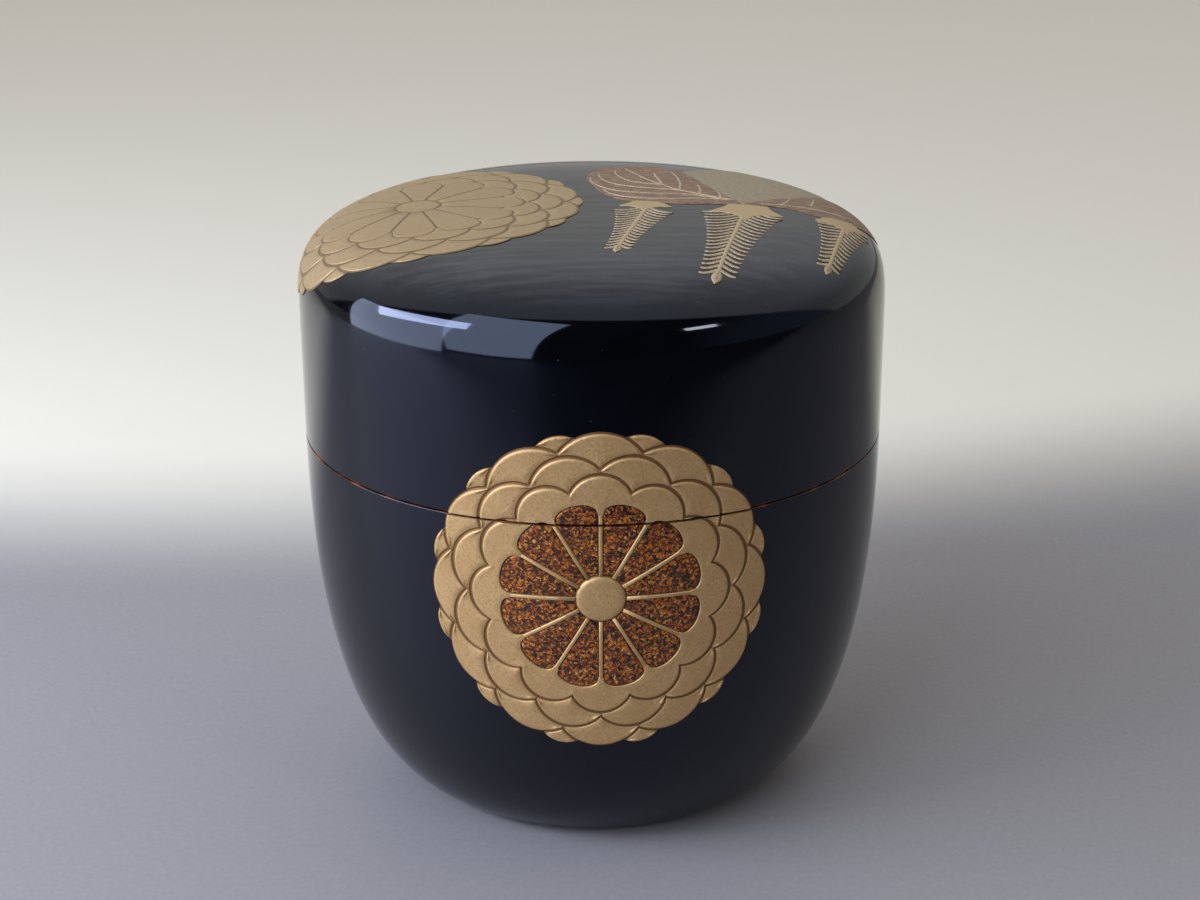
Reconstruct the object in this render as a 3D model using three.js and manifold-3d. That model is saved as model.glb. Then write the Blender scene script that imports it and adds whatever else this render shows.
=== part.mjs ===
// Natsume tea caddy: a turned and lacquered wooden tea container with a lift-off lid.
// Millimetres, +Z up. The origin is the centre of the foot, and the front faces -Y.
// The gold decoration is built up in layers on the lacquer, so each deposit is its own piece.
import * as THREE from 'three';
import { mergeVertices } from 'three/addons/utils/BufferGeometryUtils.js';
import Module from 'manifold-3d';

const wasm = await Module();
wasm.setup();

// Turned body
const bodyRadius = 37;
const footRadius = 23.55;
const seamHeight = 47.3;
const footFlare = 10.6;
const footRise = 5.3;
const shoulderDrop = 20.7;
const baseThickness = 4;
const insideRounding = 4;
const footRingWidth = 3.5;
const footRecess = 0.8;
const edgeBevel = 0.35;

// Collar that stands up from the body inside the lid
const collarHeight = 8;
const collarThickness = 1.6;
const collarClearance = 0.25;

// Turned lid
const lidWallHeight = 12.9;
const domeHeight = 15.6;
const lidWall = 2.2;
const lidTop = 3;
const seamGap = 0.2;
const domeRadiusPower = 3.82;
const domeHeightPower = 5.18;

// Raised decoration: its gap to the lacquer and the heights of its relief
const reliefSeat = 0.2;
const reliefFloor = 0.14;
const reliefRim = 0.42;
const grooveWidth = 0.3;

// Chrysanthemums: petals in a ring round an eye, then layers of petal tips behind them, with
// their reach in shares of the body's radius
const petalCount = 12;
const eyeRadius = 2.8;
const eyeRise = 0.5;
const petalReachShare = 0.3243;
const petalTipDepth = 1.6;
const firstLayerReachShare = 0.0892;
const layerReachShare = 0.0689;
const backLayerReach = 0.3;
const layerDepthShare = 0.76;
const backDepthShare = 1.25;
const backWidthShare = 0.66;
const lidPetalReachShare = 0.3568;
const lidFirstLayerReachShare = 0.0595;

// Places of the two flowers: on the front under the seam, and on the left of the lid, in shares
// of the lid's radius
const roundelDrop = 9.2;
const lidFlowerXShare = -0.588;
const lidFlowerYShare = 0.005;

// Flaked petals inlaid between the gold spokes of the front flower
const spokeWidth = 0.4;
const inlayGap = 0.12;
const inlayEdge = 0.2;
const inlayCrown = 0.3;

// Paulownia spray on the right of the lid: places and leaves in shares of the lid's radius, with
// the leaves turned by angles in degrees
const sprayXShare = 0.508;
const sprayYShare = -0.0305;
const leafEdge = 0.12;
const leafCrown = 0.22;
const leafGap = 0.3;
const leftLeafLengthShare = 0.7297;
const leftLeafWidthShare = 0.4054;
const centreLeafLengthShare = 0.6351;
const centreLeafWidthShare = 0.5946;
const rightLeafLengthShare = 0.5676;
const rightLeafWidthShare = 0.3784;
const leftLeafAngle = 129.2;
const centreLeafAngle = 84.7;
const rightLeafAngle = 15.7;
const veinWidth = 0.55;
const veinThickness = 0.14;
const veinGap = 0.1;
const flowerThickness = 0.24;
const stemWidth = 0.8;
const floretWidth = 0.5;
const budLength = 2.8;
const budWidth = 1.5;
const calyxDepth = 5.6;

// Flower heads that hang side by side from the leaves, in shares of the lid's radius, each
// leaning by an angle in degrees
const headSpacingShare = 0.3257;
const headShift = 0.3;
const headDrop = 0.65;
const headFall = 0.45;
const headAngle = 12;
const leftHeadLengthShare = 0.5703;
const leftHeadWidthShare = 0.2378;
const centreHeadLengthShare = 0.7459;
const centreHeadWidthShare = 0.2865;
const rightHeadLengthShare = 0.52;
const rightHeadWidthShare = 0.227;

// Facet counts and small working sizes
const turningFacets = 44;
const wallFacets = 8;
const domeFacets = 11;
const insideFacets = 6;
const bevelFacets = 1;
const leafFacets = 22;
const topStep = 7;
const shoulderStep = 2.6;
const ribStep = 3;
const cutterReach = 2;
const halfSpace = 200;
const weldDistance = 0.0001;

const fullTurn = Math.PI * 2;
const petalAngle = fullTurn / petalCount;
const collarRadius = bodyRadius - lidWall - collarClearance;
const bodyWall = bodyRadius - collarRadius + collarThickness;
const lidBase = seamHeight + seamGap;
const domeBase = seamHeight + lidWallHeight;

// The ornament follows the radius of the wall and the lid that carry it.
const petalReach = bodyRadius * petalReachShare;
const firstLayerReach = bodyRadius * firstLayerReachShare;
const layerReach = bodyRadius * layerReachShare;
const lidPetalReach = bodyRadius * lidPetalReachShare;
const lidFirstLayerReach = bodyRadius * lidFirstLayerReachShare;
const leftLeafLength = bodyRadius * leftLeafLengthShare;
const leftLeafWidth = bodyRadius * leftLeafWidthShare;
const centreLeafLength = bodyRadius * centreLeafLengthShare;
const centreLeafWidth = bodyRadius * centreLeafWidthShare;
const rightLeafLength = bodyRadius * rightLeafLengthShare;
const rightLeafWidth = bodyRadius * rightLeafWidthShare;
const headSpacing = bodyRadius * headSpacingShare;
const leftHeadLength = bodyRadius * leftHeadLengthShare;
const leftHeadWidth = bodyRadius * leftHeadWidthShare;
const centreHeadLength = bodyRadius * centreHeadLengthShare;
const centreHeadWidth = bodyRadius * centreHeadWidthShare;
const rightHeadLength = bodyRadius * rightHeadLengthShare;
const rightHeadWidth = bodyRadius * rightHeadWidthShare;
const sprayX = bodyRadius * sprayXShare;
const sprayY = bodyRadius * sprayYShare;

const lacquer = { color: 0x0b0c10, roughness: 0.1, metalness: 0 };
const gold = { color: 0xb89f73, roughness: 0.42, metalness: 0.6 };
const flakes = { color: 0x8a4a22, roughness: 0.35, metalness: 0.4 };
const bronze = { color: 0x8b6a52, roughness: 0.45, metalness: 0.4 };
const paleGold = { color: 0xc9b396, roughness: 0.42, metalness: 0.6 };

// Outer wall of the body, from the foot's edge up to the seam.
const bodyCurve = new THREE.CubicBezierCurve(
  new THREE.Vector2(footRadius, 0),
  new THREE.Vector2(footRadius + footFlare, footRise),
  new THREE.Vector2(bodyRadius, seamHeight - shoulderDrop),
  new THREE.Vector2(bodyRadius, seamHeight),
);

// A quarter of a superellipse, from its top on the axis out and down to the wall.
class DomeCurve extends THREE.Curve {
  constructor(radius, height) {
    super();
    this.radius = radius;
    this.height = height;
    this.arcLengthDivisions = 2000;
  }

  getPoint(share, target = new THREE.Vector2()) {
    const angle = (share * Math.PI) / 2;
    const x = this.radius * Math.sin(angle) ** (2 / domeRadiusPower);
    const y = this.height * Math.max(Math.cos(angle), 0) ** (2 / domeHeightPower);
    return target.set(x, domeBase + y);
  }
}

const domeCurve = new DomeCurve(bodyRadius, domeHeight);
const ceilingCurve = new DomeCurve(bodyRadius - lidWall, domeHeight - lidTop);

// Shares of a curve's length, spread by how far it runs and how much it bends.
function spreadShares(curve, count, samples = 400) {
  const measure = [0];
  let last = curve.getTangentAt(0);
  for (let step = 1; step <= samples; step += 1) {
    const tangent = curve.getTangentAt(step / samples);
    const bend = Math.acos(Math.min(tangent.dot(last), 1));
    measure.push(measure[step - 1] + 1 / samples + bend);
    last = tangent;
  }
  const shares = [];
  for (let part = 0; part <= count; part += 1) {
    const wanted = (measure[samples] * part) / count;
    shares.push(Math.max(measure.findIndex((value) => value >= wanted), 0) / samples);
  }
  shares[count] = 1;
  return shares;
}

function curvePoints(curve, count, offset = 0) {
  return spreadShares(curve, count).map((share) => {
    const point = curve.getPointAt(share);
    const tangent = curve.getTangentAt(share);
    return new THREE.Vector2(point.x - offset * tangent.y, point.y + offset * tangent.x);
  });
}

// A rounded edge: a quarter arc about a centre, from one angle to another.
function edgeArc(x, y, radius, fromAngle, toAngle) {
  const points = [];
  for (let step = 0; step <= bevelFacets; step += 1) {
    const angle = fromAngle + ((toAngle - fromAngle) * step) / bevelFacets;
    points.push(new THREE.Vector2(x + radius * Math.cos(angle), y + radius * Math.sin(angle)));
  }
  return points;
}

// The body's section: recessed foot, outer wall, ledge, collar, and the hollow inside.
function bodyProfile() {
  const ringRadius = footRadius - footRingWidth;
  const collarInside = collarRadius - collarThickness;
  const collarTop = seamHeight + collarHeight;
  const outside = curvePoints(bodyCurve, wallFacets);
  outside.pop();
  const inside = curvePoints(bodyCurve, insideFacets, bodyWall)
    .filter((point) => point.y > baseThickness + edgeBevel && point.y < seamHeight)
    .reverse();
  return [
    new THREE.Vector2(0, footRecess),
    new THREE.Vector2(ringRadius - footRecess, footRecess),
    new THREE.Vector2(ringRadius, 0),
    ...outside,
    ...edgeArc(bodyRadius - edgeBevel, seamHeight - edgeBevel, edgeBevel, 0, Math.PI / 2),
    new THREE.Vector2(collarRadius, seamHeight),
    ...edgeArc(collarRadius - edgeBevel, collarTop - edgeBevel, edgeBevel, 0, Math.PI / 2),
    ...edgeArc(collarInside + edgeBevel, collarTop - edgeBevel, edgeBevel, Math.PI / 2, Math.PI),
    ...inside,
    new THREE.Vector2(inside[inside.length - 1].x - insideRounding, baseThickness),
    new THREE.Vector2(0, baseThickness),
  ];
}

// The lid's section: ceiling, inner wall, mouth, outer wall and the flat dome.
function lidProfile() {
  const mouthInside = bodyRadius - lidWall;
  const ceiling = curvePoints(ceilingCurve, insideFacets);
  const dome = curvePoints(domeCurve, domeFacets).reverse();
  return [
    ...ceiling,
    new THREE.Vector2(mouthInside, lidBase + edgeBevel),
    new THREE.Vector2(mouthInside + edgeBevel, lidBase),
    ...edgeArc(bodyRadius - edgeBevel, lidBase + edgeBevel, edgeBevel, -Math.PI / 2, 0),
    ...dome,
  ];
}

function turned(profile) {
  const geometry = new THREE.LatheGeometry(profile, turningFacets);
  return geometry.rotateX(Math.PI / 2);
}

// Arc length at the front, measured sideways and up from the flower's centre, to a place in space.
const roundelShare = 1 - roundelDrop / bodyCurve.getLength();
const roundelRadius = bodyCurve.getPointAt(roundelShare).x;

function onSide(across, up, out) {
  const aboveSeam = up - roundelDrop;
  const share = Math.min(1 + aboveSeam / bodyCurve.getLength(), 1);
  const point = bodyCurve.getPointAt(share);
  const tangent = bodyCurve.getTangentAt(share);
  const radius = point.x + out * tangent.y;
  const angle = across / roundelRadius;
  return new THREE.Vector3(
    radius * Math.sin(angle),
    -radius * Math.cos(angle),
    point.y - out * tangent.x + Math.max(aboveSeam, 0),
  );
}

// Arc length over the lid, measured from the middle of its top, to a place in space.
function onLid(x, y, out) {
  const share = Math.min(Math.hypot(x, y) / domeCurve.getLength(), 1);
  const point = domeCurve.getPointAt(share);
  const tangent = domeCurve.getTangentAt(share);
  const radius = point.x - out * tangent.y;
  const angle = Math.atan2(y, x);
  return new THREE.Vector3(
    radius * Math.cos(angle),
    radius * Math.sin(angle),
    point.y + out * tangent.x,
  );
}

// A closed skin through rings of equally many points, drawn to a point at both ends.
function lofted(startPoint, rings, endPoint) {
  const count = rings[0].length;
  const points = [startPoint, ...rings.flat(), endPoint];
  const at = (ring, column) => 1 + ring * count + (column % count);
  const top = rings.length - 1;
  const index = [];
  for (let column = 0; column < count; column += 1) {
    index.push(0, at(0, column + 1), at(0, column));
    index.push(at(top, column), at(top, column + 1), points.length - 1);
    for (let ring = 0; ring < top; ring += 1) {
      index.push(at(ring, column), at(ring, column + 1), at(ring + 1, column + 1));
      index.push(at(ring, column), at(ring + 1, column + 1), at(ring + 1, column));
    }
  }
  const geometry = new THREE.BufferGeometry().setFromPoints(points);
  geometry.setIndex(index);
  return geometry;
}

function solidOf(geometry) {
  const bare = geometry.clone();
  bare.deleteAttribute('normal');
  bare.deleteAttribute('uv');
  const welded = mergeVertices(bare, weldDistance);
  return new wasm.Manifold(
    new wasm.Mesh({
      numProp: 3,
      vertProperties: Float32Array.from(welded.attributes.position.array),
      triVerts: Uint32Array.from(welded.index.array),
    }),
  );
}

function geometryOf(solid) {
  const mesh = solid.getMesh();
  const geometry = new THREE.BufferGeometry();
  geometry.setAttribute('position', new THREE.BufferAttribute(mesh.vertProperties, 3));
  geometry.setIndex(new THREE.BufferAttribute(mesh.triVerts, 1));
  const flat = geometry.toNonIndexed();
  flat.computeVertexNormals();
  return flat;
}

// Everything on one side of a level plane: rise 1 keeps what is above it, -1 what is below.
function beyondLevel(height, rise) {
  const block = new THREE.BoxGeometry(halfSpace, halfSpace, halfSpace);
  return solidOf(block.translate(0, 0, height + (rise * halfSpace) / 2));
}

// Where the columns of points stand within one petal, from one spoke to the next.
const columnShares = [0, 0.15, 0.28, 0.5, 0.72, 0.85];

// Where the rings of points stand: shares of the way out on an underside or along a petal.
const frontUndersideShares = [0.34, 0.68, 1];
const lidUndersideShares = [0.32, 0.53, 0.67, 0.79, 0.9, 1];
const lidPetalShares = [1, 0.7, 0.38];
const inlayRingShares = [0.8];

const spokeShare = 0;
const middleShare = 0.5;

// Radius of a scalloped edge: a round tip at tipShare, falling to cusps half a petal away.
function scallop(share, tipShare, tipRadius, depth, widthShare = 1) {
  const away = Math.abs(((share - tipShare + 1.5) % 1) - 0.5) / (widthShare / 2);
  return tipRadius - depth + depth * Math.sqrt(Math.max(1 - away * away, 0));
}

// The edges of a flower's layers as functions of the share of a petal.
function flowerEdges(reach, firstReach) {
  const depth = layerReach * layerDepthShare;
  const firstTip = reach + firstReach;
  const thirdTip = firstTip + layerReach + layerReach;
  const petals = (share) => scallop(share, middleShare, reach, petalTipDepth);
  const first = (share) => scallop(share, spokeShare, firstTip, depth);
  const second = (share) => scallop(share, middleShare, firstTip + layerReach, depth);
  const third = (share) => scallop(share, spokeShare, thirdTip, depth);
  const back = (share) =>
    scallop(share, middleShare, thirdTip + backLayerReach, layerReach * backDepthShare, backWidthShare);
  const outer = (share) => Math.max(third(share) + grooveWidth, back(share));
  return { petals, first, second, third, back, outer };
}

// One ring of points round a flower. Near a spoke the columns keep to the edges of its groove.
function flowerRing(flower, radiusAt, heightAt, followSpokes = false) {
  const points = [];
  for (let petal = 0; petal < petalCount; petal += 1) {
    columnShares.forEach((plain, column) => {
      const radius = radiusAt(plain);
      const groove = Math.asin(grooveWidth / 2 / radius) / petalAngle;
      const last = columnShares.length - 1;
      const nearSpoke = column === 1 ? groove : 1 - groove;
      const share = followSpokes && (column === 1 || column === last) ? nearSpoke : plain;
      const angle = flower.turnedBy + (petal + share) * petalAngle;
      const across = flower.x + radius * Math.cos(angle);
      const up = flower.y + radius * Math.sin(angle);
      points.push(flower.place(across, up, reliefSeat + heightAt(plain)));
    });
  }
  return points;
}

// The gold relief of a flower: its underside, then each layer from the back to the eye.
function flowerRelief(flower, undersideShares, petalShares) {
  const { edges } = flower;
  const flat = (height) => () => height;
  const beyond = (edge) => (share) => edge(share) + grooveWidth;
  const reach = (scale) => (share) => edges.outer(share) * scale;
  const isBack = (share) => edges.back(share) > edges.third(share) + grooveWidth;
  const backHeight = (share) => (isBack(share) ? reliefRim : reliefFloor);
  const petalHeight = (share) => (share === spokeShare ? flower.spokeRise : reliefRim);
  const petalRing = (part) => (share) =>
    eyeRadius + grooveWidth + (edges.petals(share) - eyeRadius - grooveWidth) * part;
  const rings = [
    ...undersideShares.map((scale) => flowerRing(flower, reach(scale), flat(0))),
    flowerRing(flower, edges.outer, backHeight),
    flowerRing(flower, beyond(edges.third), flat(reliefFloor)),
    flowerRing(flower, edges.third, flat(reliefRim)),
    flowerRing(flower, beyond(edges.second), flat(reliefFloor)),
    flowerRing(flower, edges.second, flat(reliefRim)),
    flowerRing(flower, beyond(edges.first), flat(reliefFloor)),
    flowerRing(flower, edges.first, flat(reliefRim)),
    flowerRing(flower, beyond(edges.petals), flat(flower.bedRise)),
    ...petalShares.map((part) => flowerRing(flower, petalRing(part), petalHeight, true)),
    flowerRing(flower, flat(eyeRadius + grooveWidth), flat(flower.spokeRise), true),
    flowerRing(flower, flat(eyeRadius), flat(eyeRise), true),
  ];
  const centre = (height) => flower.place(flower.x, flower.y, reliefSeat + height);
  return lofted(centre(0), rings, centre(eyeRise));
}

const frontFlower = {
  place: onSide,
  x: 0,
  y: 0,
  turnedBy: 0,
  spokeRise: reliefRim,
  bedRise: reliefRim,
  edges: flowerEdges(petalReach, firstLayerReach),
};
const lidFlower = {
  place: onLid,
  x: bodyRadius * lidFlowerXShare,
  y: bodyRadius * lidFlowerYShare,
  turnedBy: petalAngle / 2,
  spokeRise: reliefFloor,
  bedRise: reliefFloor,
  edges: flowerEdges(lidPetalReach, lidFirstLayerReach),
};

// Outline of one flaked petal about its own axis, let out by an amount all round.
function inlayOutline(letOut, tipFacets = 5) {
  const half = petalAngle / 2;
  const inset = spokeWidth / 2 + inlayGap - letOut;
  const start = eyeRadius + inlayGap - letOut;
  const shoulder = petalReach - petalTipDepth;
  const halfWidth = (along) => along * Math.tan(half) - inset / Math.cos(half);
  const points = [new THREE.Vector2(start, -halfWidth(start))];
  points.push(new THREE.Vector2((start + shoulder) / 2, -halfWidth((start + shoulder) / 2)));
  for (let step = 0; step <= tipFacets; step += 1) {
    const angle = Math.PI * (step / tipFacets - 1 / 2);
    const along = shoulder + (petalTipDepth + letOut) * Math.cos(angle);
    points.push(new THREE.Vector2(along, halfWidth(shoulder) * Math.sin(angle)));
  }
  points.push(new THREE.Vector2((start + shoulder) / 2, halfWidth((start + shoulder) / 2)));
  points.push(new THREE.Vector2(start, halfWidth(start)));
  return points;
}

// A plate over an outline, crowned in the middle, with rings at shares of the way out to its edge,
// on top and underneath.
function crownedPlate(outline, centre, place, base, edge, crown, shares, underShares) {
  const ring = (share, height) =>
    outline.map((point) => {
      const spot = centre.clone().lerp(point, share);
      return place(spot.x, spot.y, height);
    });
  const crownAt = (share) => crown - (crown - edge) * share * share;
  const under = [...underShares].reverse();
  return lofted(
    place(centre.x, centre.y, base),
    [
      ...under.map((share) => ring(share, base)),
      ring(1, base),
      ring(1, edge),
      ...shares.map((share) => ring(share, crownAt(share))),
    ],
    place(centre.x, centre.y, crown),
  );
}

// A flaked petal on its spoke's angle, and the cutter that opens its bed in the gold.
function inlay(petal, letOut, base, edge, crown, ringShares) {
  const angle = (petal + 1 / 2) * petalAngle;
  const turn = (point) => point.clone().rotateAround(new THREE.Vector2(), angle);
  const outline = inlayOutline(letOut).map(turn);
  const centre = turn(new THREE.Vector2((eyeRadius + petalReach) / 2, 0));
  return crownedPlate(outline, centre, onSide, base, edge, crown, ringShares, []);
}

function inlayPetal(petal) {
  const edge = reliefSeat + inlayEdge;
  const crown = reliefSeat + inlayCrown;
  return inlay(petal, 0, reliefSeat, edge, crown, inlayRingShares);
}

function inlayBed(petal) {
  return inlay(petal, inlayGap, -cutterReach, cutterReach, cutterReach, []);
}

function frontGold() {
  let solid = solidOf(flowerRelief(frontFlower, frontUndersideShares, []));
  for (let petal = 0; petal < petalCount; petal += 1) {
    solid = solid.subtract(solidOf(inlayBed(petal)));
  }
  return solid;
}

// Leaves: outlines in shares of length and width, from the stem out to the tip and back.
const leftLeafShares = [
  [0, 0], [0.15, -0.09], [0.28, -0.17], [0.4, -0.25], [0.55, -0.36], [0.72, -0.44], [0.87, -0.4],
  [0.94, -0.22], [0.96, 0], [0.93, 0.18], [0.85, 0.38], [0.72, 0.52], [0.58, 0.64], [0.45, 0.68],
  [0.31, 0.62], [0.19, 0.44], [0.08, 0.2],
];
const centreLeafShares = [
  [0, 0], [0.12, -0.16], [0.3, -0.4], [0.5, -0.5], [0.66, -0.43], [0.8, -0.3], [0.92, -0.13],
  [1, 0], [0.92, 0.13], [0.8, 0.3], [0.66, 0.43], [0.5, 0.5], [0.3, 0.4], [0.12, 0.16],
];
const rightLeafShares = [
  [0, 0], [0.18, -0.1], [0.29, -0.22], [0.39, -0.35], [0.53, -0.39], [0.68, -0.4], [0.82, -0.35],
  [0.93, -0.2], [1, 0], [0.93, 0.22], [0.81, 0.38], [0.66, 0.43], [0.5, 0.34], [0.38, 0.23],
  [0.26, 0.19], [0.12, 0.1],
];

// Rings of a leaf from its edge inward, close enough to bend over the lid's shoulder.
const leafRingShares = [0.87, 0.73, 0.58, 0.4, 0.2];

const leaves = {
  left: {
    outlineShares: leftLeafShares,
    length: leftLeafLength,
    width: leftLeafWidth,
    angle: leftLeafAngle,
  },
  centre: {
    outlineShares: centreLeafShares,
    length: centreLeafLength,
    width: centreLeafWidth,
    angle: centreLeafAngle,
  },
  right: {
    outlineShares: rightLeafShares,
    length: rightLeafLength,
    width: rightLeafWidth,
    angle: rightLeafAngle,
  },
};

// A place on a leaf, in shares of its length and width, as a point of the lid's plan.
function onLeaf(leaf, alongShare, acrossShare, shift = leafGap) {
  const spot = new THREE.Vector2(shift + alongShare * leaf.length, acrossShare * leaf.width);
  spot.rotateAround(new THREE.Vector2(), THREE.MathUtils.degToRad(leaf.angle));
  return spot.add(new THREE.Vector2(sprayX, sprayY));
}

// A leaf's edge as a smooth closed line, let out by an amount away from its middle.
function leafOutline(leaf, letOut) {
  const middle = onLeaf(leaf, 1 / 2, 0);
  const corners = leaf.outlineShares.map(([along, across]) => onLeaf(leaf, along, across));
  const edge = new THREE.SplineCurve([...corners, corners[0]]);
  const points = edge.getSpacedPoints(leafFacets).slice(1);
  return points.map((point) => point.add(point.clone().sub(middle).setLength(letOut)));
}

function leafPlate(leaf, letOut, base, edge, crown) {
  const outline = leafOutline(leaf, letOut);
  const middle = onLeaf(leaf, 1 / 2, 0);
  const shares = leafRingShares;
  return crownedPlate(outline, middle, onLid, base, edge, crown, shares, shares);
}

function leafSolid(leaf) {
  const edge = reliefSeat + leafEdge;
  const crown = reliefSeat + leafCrown;
  return solidOf(leafPlate(leaf, 0, reliefSeat, edge, crown));
}

function leafCutter(leaf) {
  return solidOf(leafPlate(leaf, leafGap, -cutterReach, cutterReach, cutterReach));
}

// A rib laid over the lid along a bowed line, tapering to half its width and sunk by an amount.
function rib(from, to, bow, base, sunk) {
  const line = to.clone().sub(from);
  const middle = from.clone().lerp(to, 1 / 2);
  middle.add(new THREE.Vector2(-line.y, line.x).multiplyScalar(bow));
  const curve = new THREE.QuadraticBezierCurve(from, middle, to);
  const steps = Math.ceil(line.length() / ribStep);
  const low = base + sunk;
  const high = base + veinThickness - sunk;
  const rings = [];
  for (let step = 0; step <= steps; step += 1) {
    const point = curve.getPoint(step / steps);
    const tangent = curve.getTangent(step / steps);
    const half = (veinWidth / 2) * (1 - step / steps / 2);
    const left = new THREE.Vector2(-tangent.y, tangent.x).multiplyScalar(half);
    const corner = (side, height) => onLid(point.x + side * left.x, point.y + side * left.y, height);
    rings.push([corner(-1, low), corner(1, low), corner(1, high), corner(-1, high)]);
  }
  const centre = (spot) => onLid(spot.x, spot.y, (low + high) / 2);
  return solidOf(lofted(centre(from), rings, centre(to)));
}

// Halves each triangle's longest edge until none is longer than a step. Neighbours share the middle
// of their common edge, so they stay joined, and the middles are added to the spots.
function cutShort(spots, triangles, step) {
  const middles = new Map();
  const middleOf = (a, b) => {
    const key = `${Math.min(a, b)},${Math.max(a, b)}`;
    if (!middles.has(key)) {
      middles.set(key, spots.length);
      spots.push(spots[a].clone().lerp(spots[b], 1 / 2));
    }
    return middles.get(key);
  };
  const waiting = [...triangles];
  const short = [];
  while (waiting.length > 0) {
    const corners = waiting.pop();
    const after = (side) => corners[(side + 1) % 3];
    const lengths = corners.map((corner, side) => spots[corner].distanceTo(spots[after(side)]));
    const longest = Math.max(...lengths);
    const side = lengths.indexOf(longest);
    if (longest > step) {
      const middle = middleOf(corners[side], after(side));
      const far = after(side + 1);
      waiting.push([corners[side], middle, far], [middle, after(side), far]);
    } else {
      short.push(corners);
    }
  }
  return short;
}

// Triangles between spots of the lid's plan, counter-clockwise, as a plate laid over the lid.
function laidOnLid(spots, triangles, base, thickness, step) {
  const faces = cutShort(spots, triangles, step);
  const onTop = spots.map((spot) => onLid(spot.x, spot.y, base + thickness));
  const under = spots.map((spot) => onLid(spot.x, spot.y, base));
  const sides = new Set(faces.flatMap(([a, b, c]) => [`${a},${b}`, `${b},${c}`, `${c},${a}`]));
  const count = spots.length;
  const index = faces.flatMap(([a, b, c]) => [a, b, c, count + c, count + b, count + a]);
  for (const side of sides) {
    const [a, b] = side.split(',').map(Number);
    if (!sides.has(`${b},${a}`)) {
      index.push(a, count + a, count + b, a, count + b, b);
    }
  }
  const geometry = new THREE.BufferGeometry().setFromPoints([...onTop, ...under]);
  geometry.setIndex(index);
  return solidOf(geometry);
}

// Midribs and side veins in shares of the leaf: where each starts, where it ends, and its bow.
const leftMidribShares = [0.06, -0.04, 0.89, -0.12, 0.17];
const leftVeinShares = [
  [0.08, -0.03, 0.6, 0.56, 0.33],
  [0.15, 0, 0.81, 0.35, 0.35],
  [0.3, 0.04, 0.86, 0.19, 0.36],
  [0.49, 0.05, 0.87, 0.02, 0.42],
  [0.12, -0.01, 0.2, -0.1, 0.05],
  [0.24, 0.03, 0.38, -0.17, 0.05],
  [0.37, 0.05, 0.68, -0.34, -0.05],
];
const rightMidribShares = [0.14, 0.12, 0.7, -0.17, 0.05];
const rightVeinShares = [
  [0.27, 0.073, 0.38, 0.2, 0.1],
  [0.45, -0.005, 0.6, 0.32, 0.1],
];

// How far the side veins are sunk beside the midrib, as a share of its thickness.
const veinSinkShare = 0.125;

function vein(leaf, [fromAlong, fromAcross, toAlong, toAcross, bow], sunk) {
  const from = onLeaf(leaf, fromAlong, fromAcross);
  const to = onLeaf(leaf, toAlong, toAcross);
  return rib(from, to, bow, reliefSeat + leafCrown + veinGap, sunk);
}

function veins(leaf, midribShares, veinShares) {
  const sideVeins = veinShares.map((shares) => vein(leaf, shares, veinThickness * veinSinkShare));
  return sideVeins.reduce((whole, side) => whole.add(side), vein(leaf, midribShares, 0));
}

// Florets shorten towards the tip, and swing from leaning up to leaning down.
const floretTaperShare = 0.6;
const floretLiftShare = 0.3;
const floretSwingShare = 0.5;

// The side heads have a cup and a bud smaller than the centre one's by this share.
const sideHeadShare = 0.78;

// Flower heads in their places from left to right, counted from the middle one.
const flowerHeads = {
  left: {
    placeShare: -1,
    length: leftHeadLength,
    width: leftHeadWidth,
    florets: 13,
    sizeShare: sideHeadShare,
    step: topStep,
  },
  centre: {
    placeShare: 0,
    length: centreHeadLength,
    width: centreHeadWidth,
    florets: 16,
    sizeShare: 1,
    step: topStep,
  },
  right: {
    placeShare: 1.05,
    length: rightHeadLength,
    width: rightHeadWidth,
    florets: 12,
    sizeShare: sideHeadShare,
    step: shoulderStep,
  },
};

// One side of the cup at the top of a flower head, as shares of its depth and of the half width.
const calyxShares = [[0, 0.3], [0.08, 0.62], [0.34, 0.56], [0.72, 0.76], [0.74, 0.42]];

// Half widths of a flower head down its length: the cup, the tapering stem, and the bud.
function headRows(head) {
  const depth = calyxDepth * head.sizeShare;
  const budStart = head.length - budLength * head.sizeShare;
  const rows = calyxShares.map(([down, out]) => [down * depth, (out * head.width) / 2]);
  for (let floret = 0; floret <= head.florets; floret += 1) {
    const share = floret / head.florets;
    const fall = depth + (budStart - depth) * share;
    rows.push([fall, (stemWidth / 2) * (1 - share / 2)]);
  }
  rows.push([(budStart + head.length) / 2, (budWidth / 2) * head.sizeShare]);
  return rows;
}

// How far down a floret's end lies, and how far out, for its place down the stem.
function floretEnd(head, share, root) {
  const reach = (head.width / 2) * (1 - floretTaperShare * share);
  return [root - reach * (floretLiftShare - floretSwingShare * share), reach];
}

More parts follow.
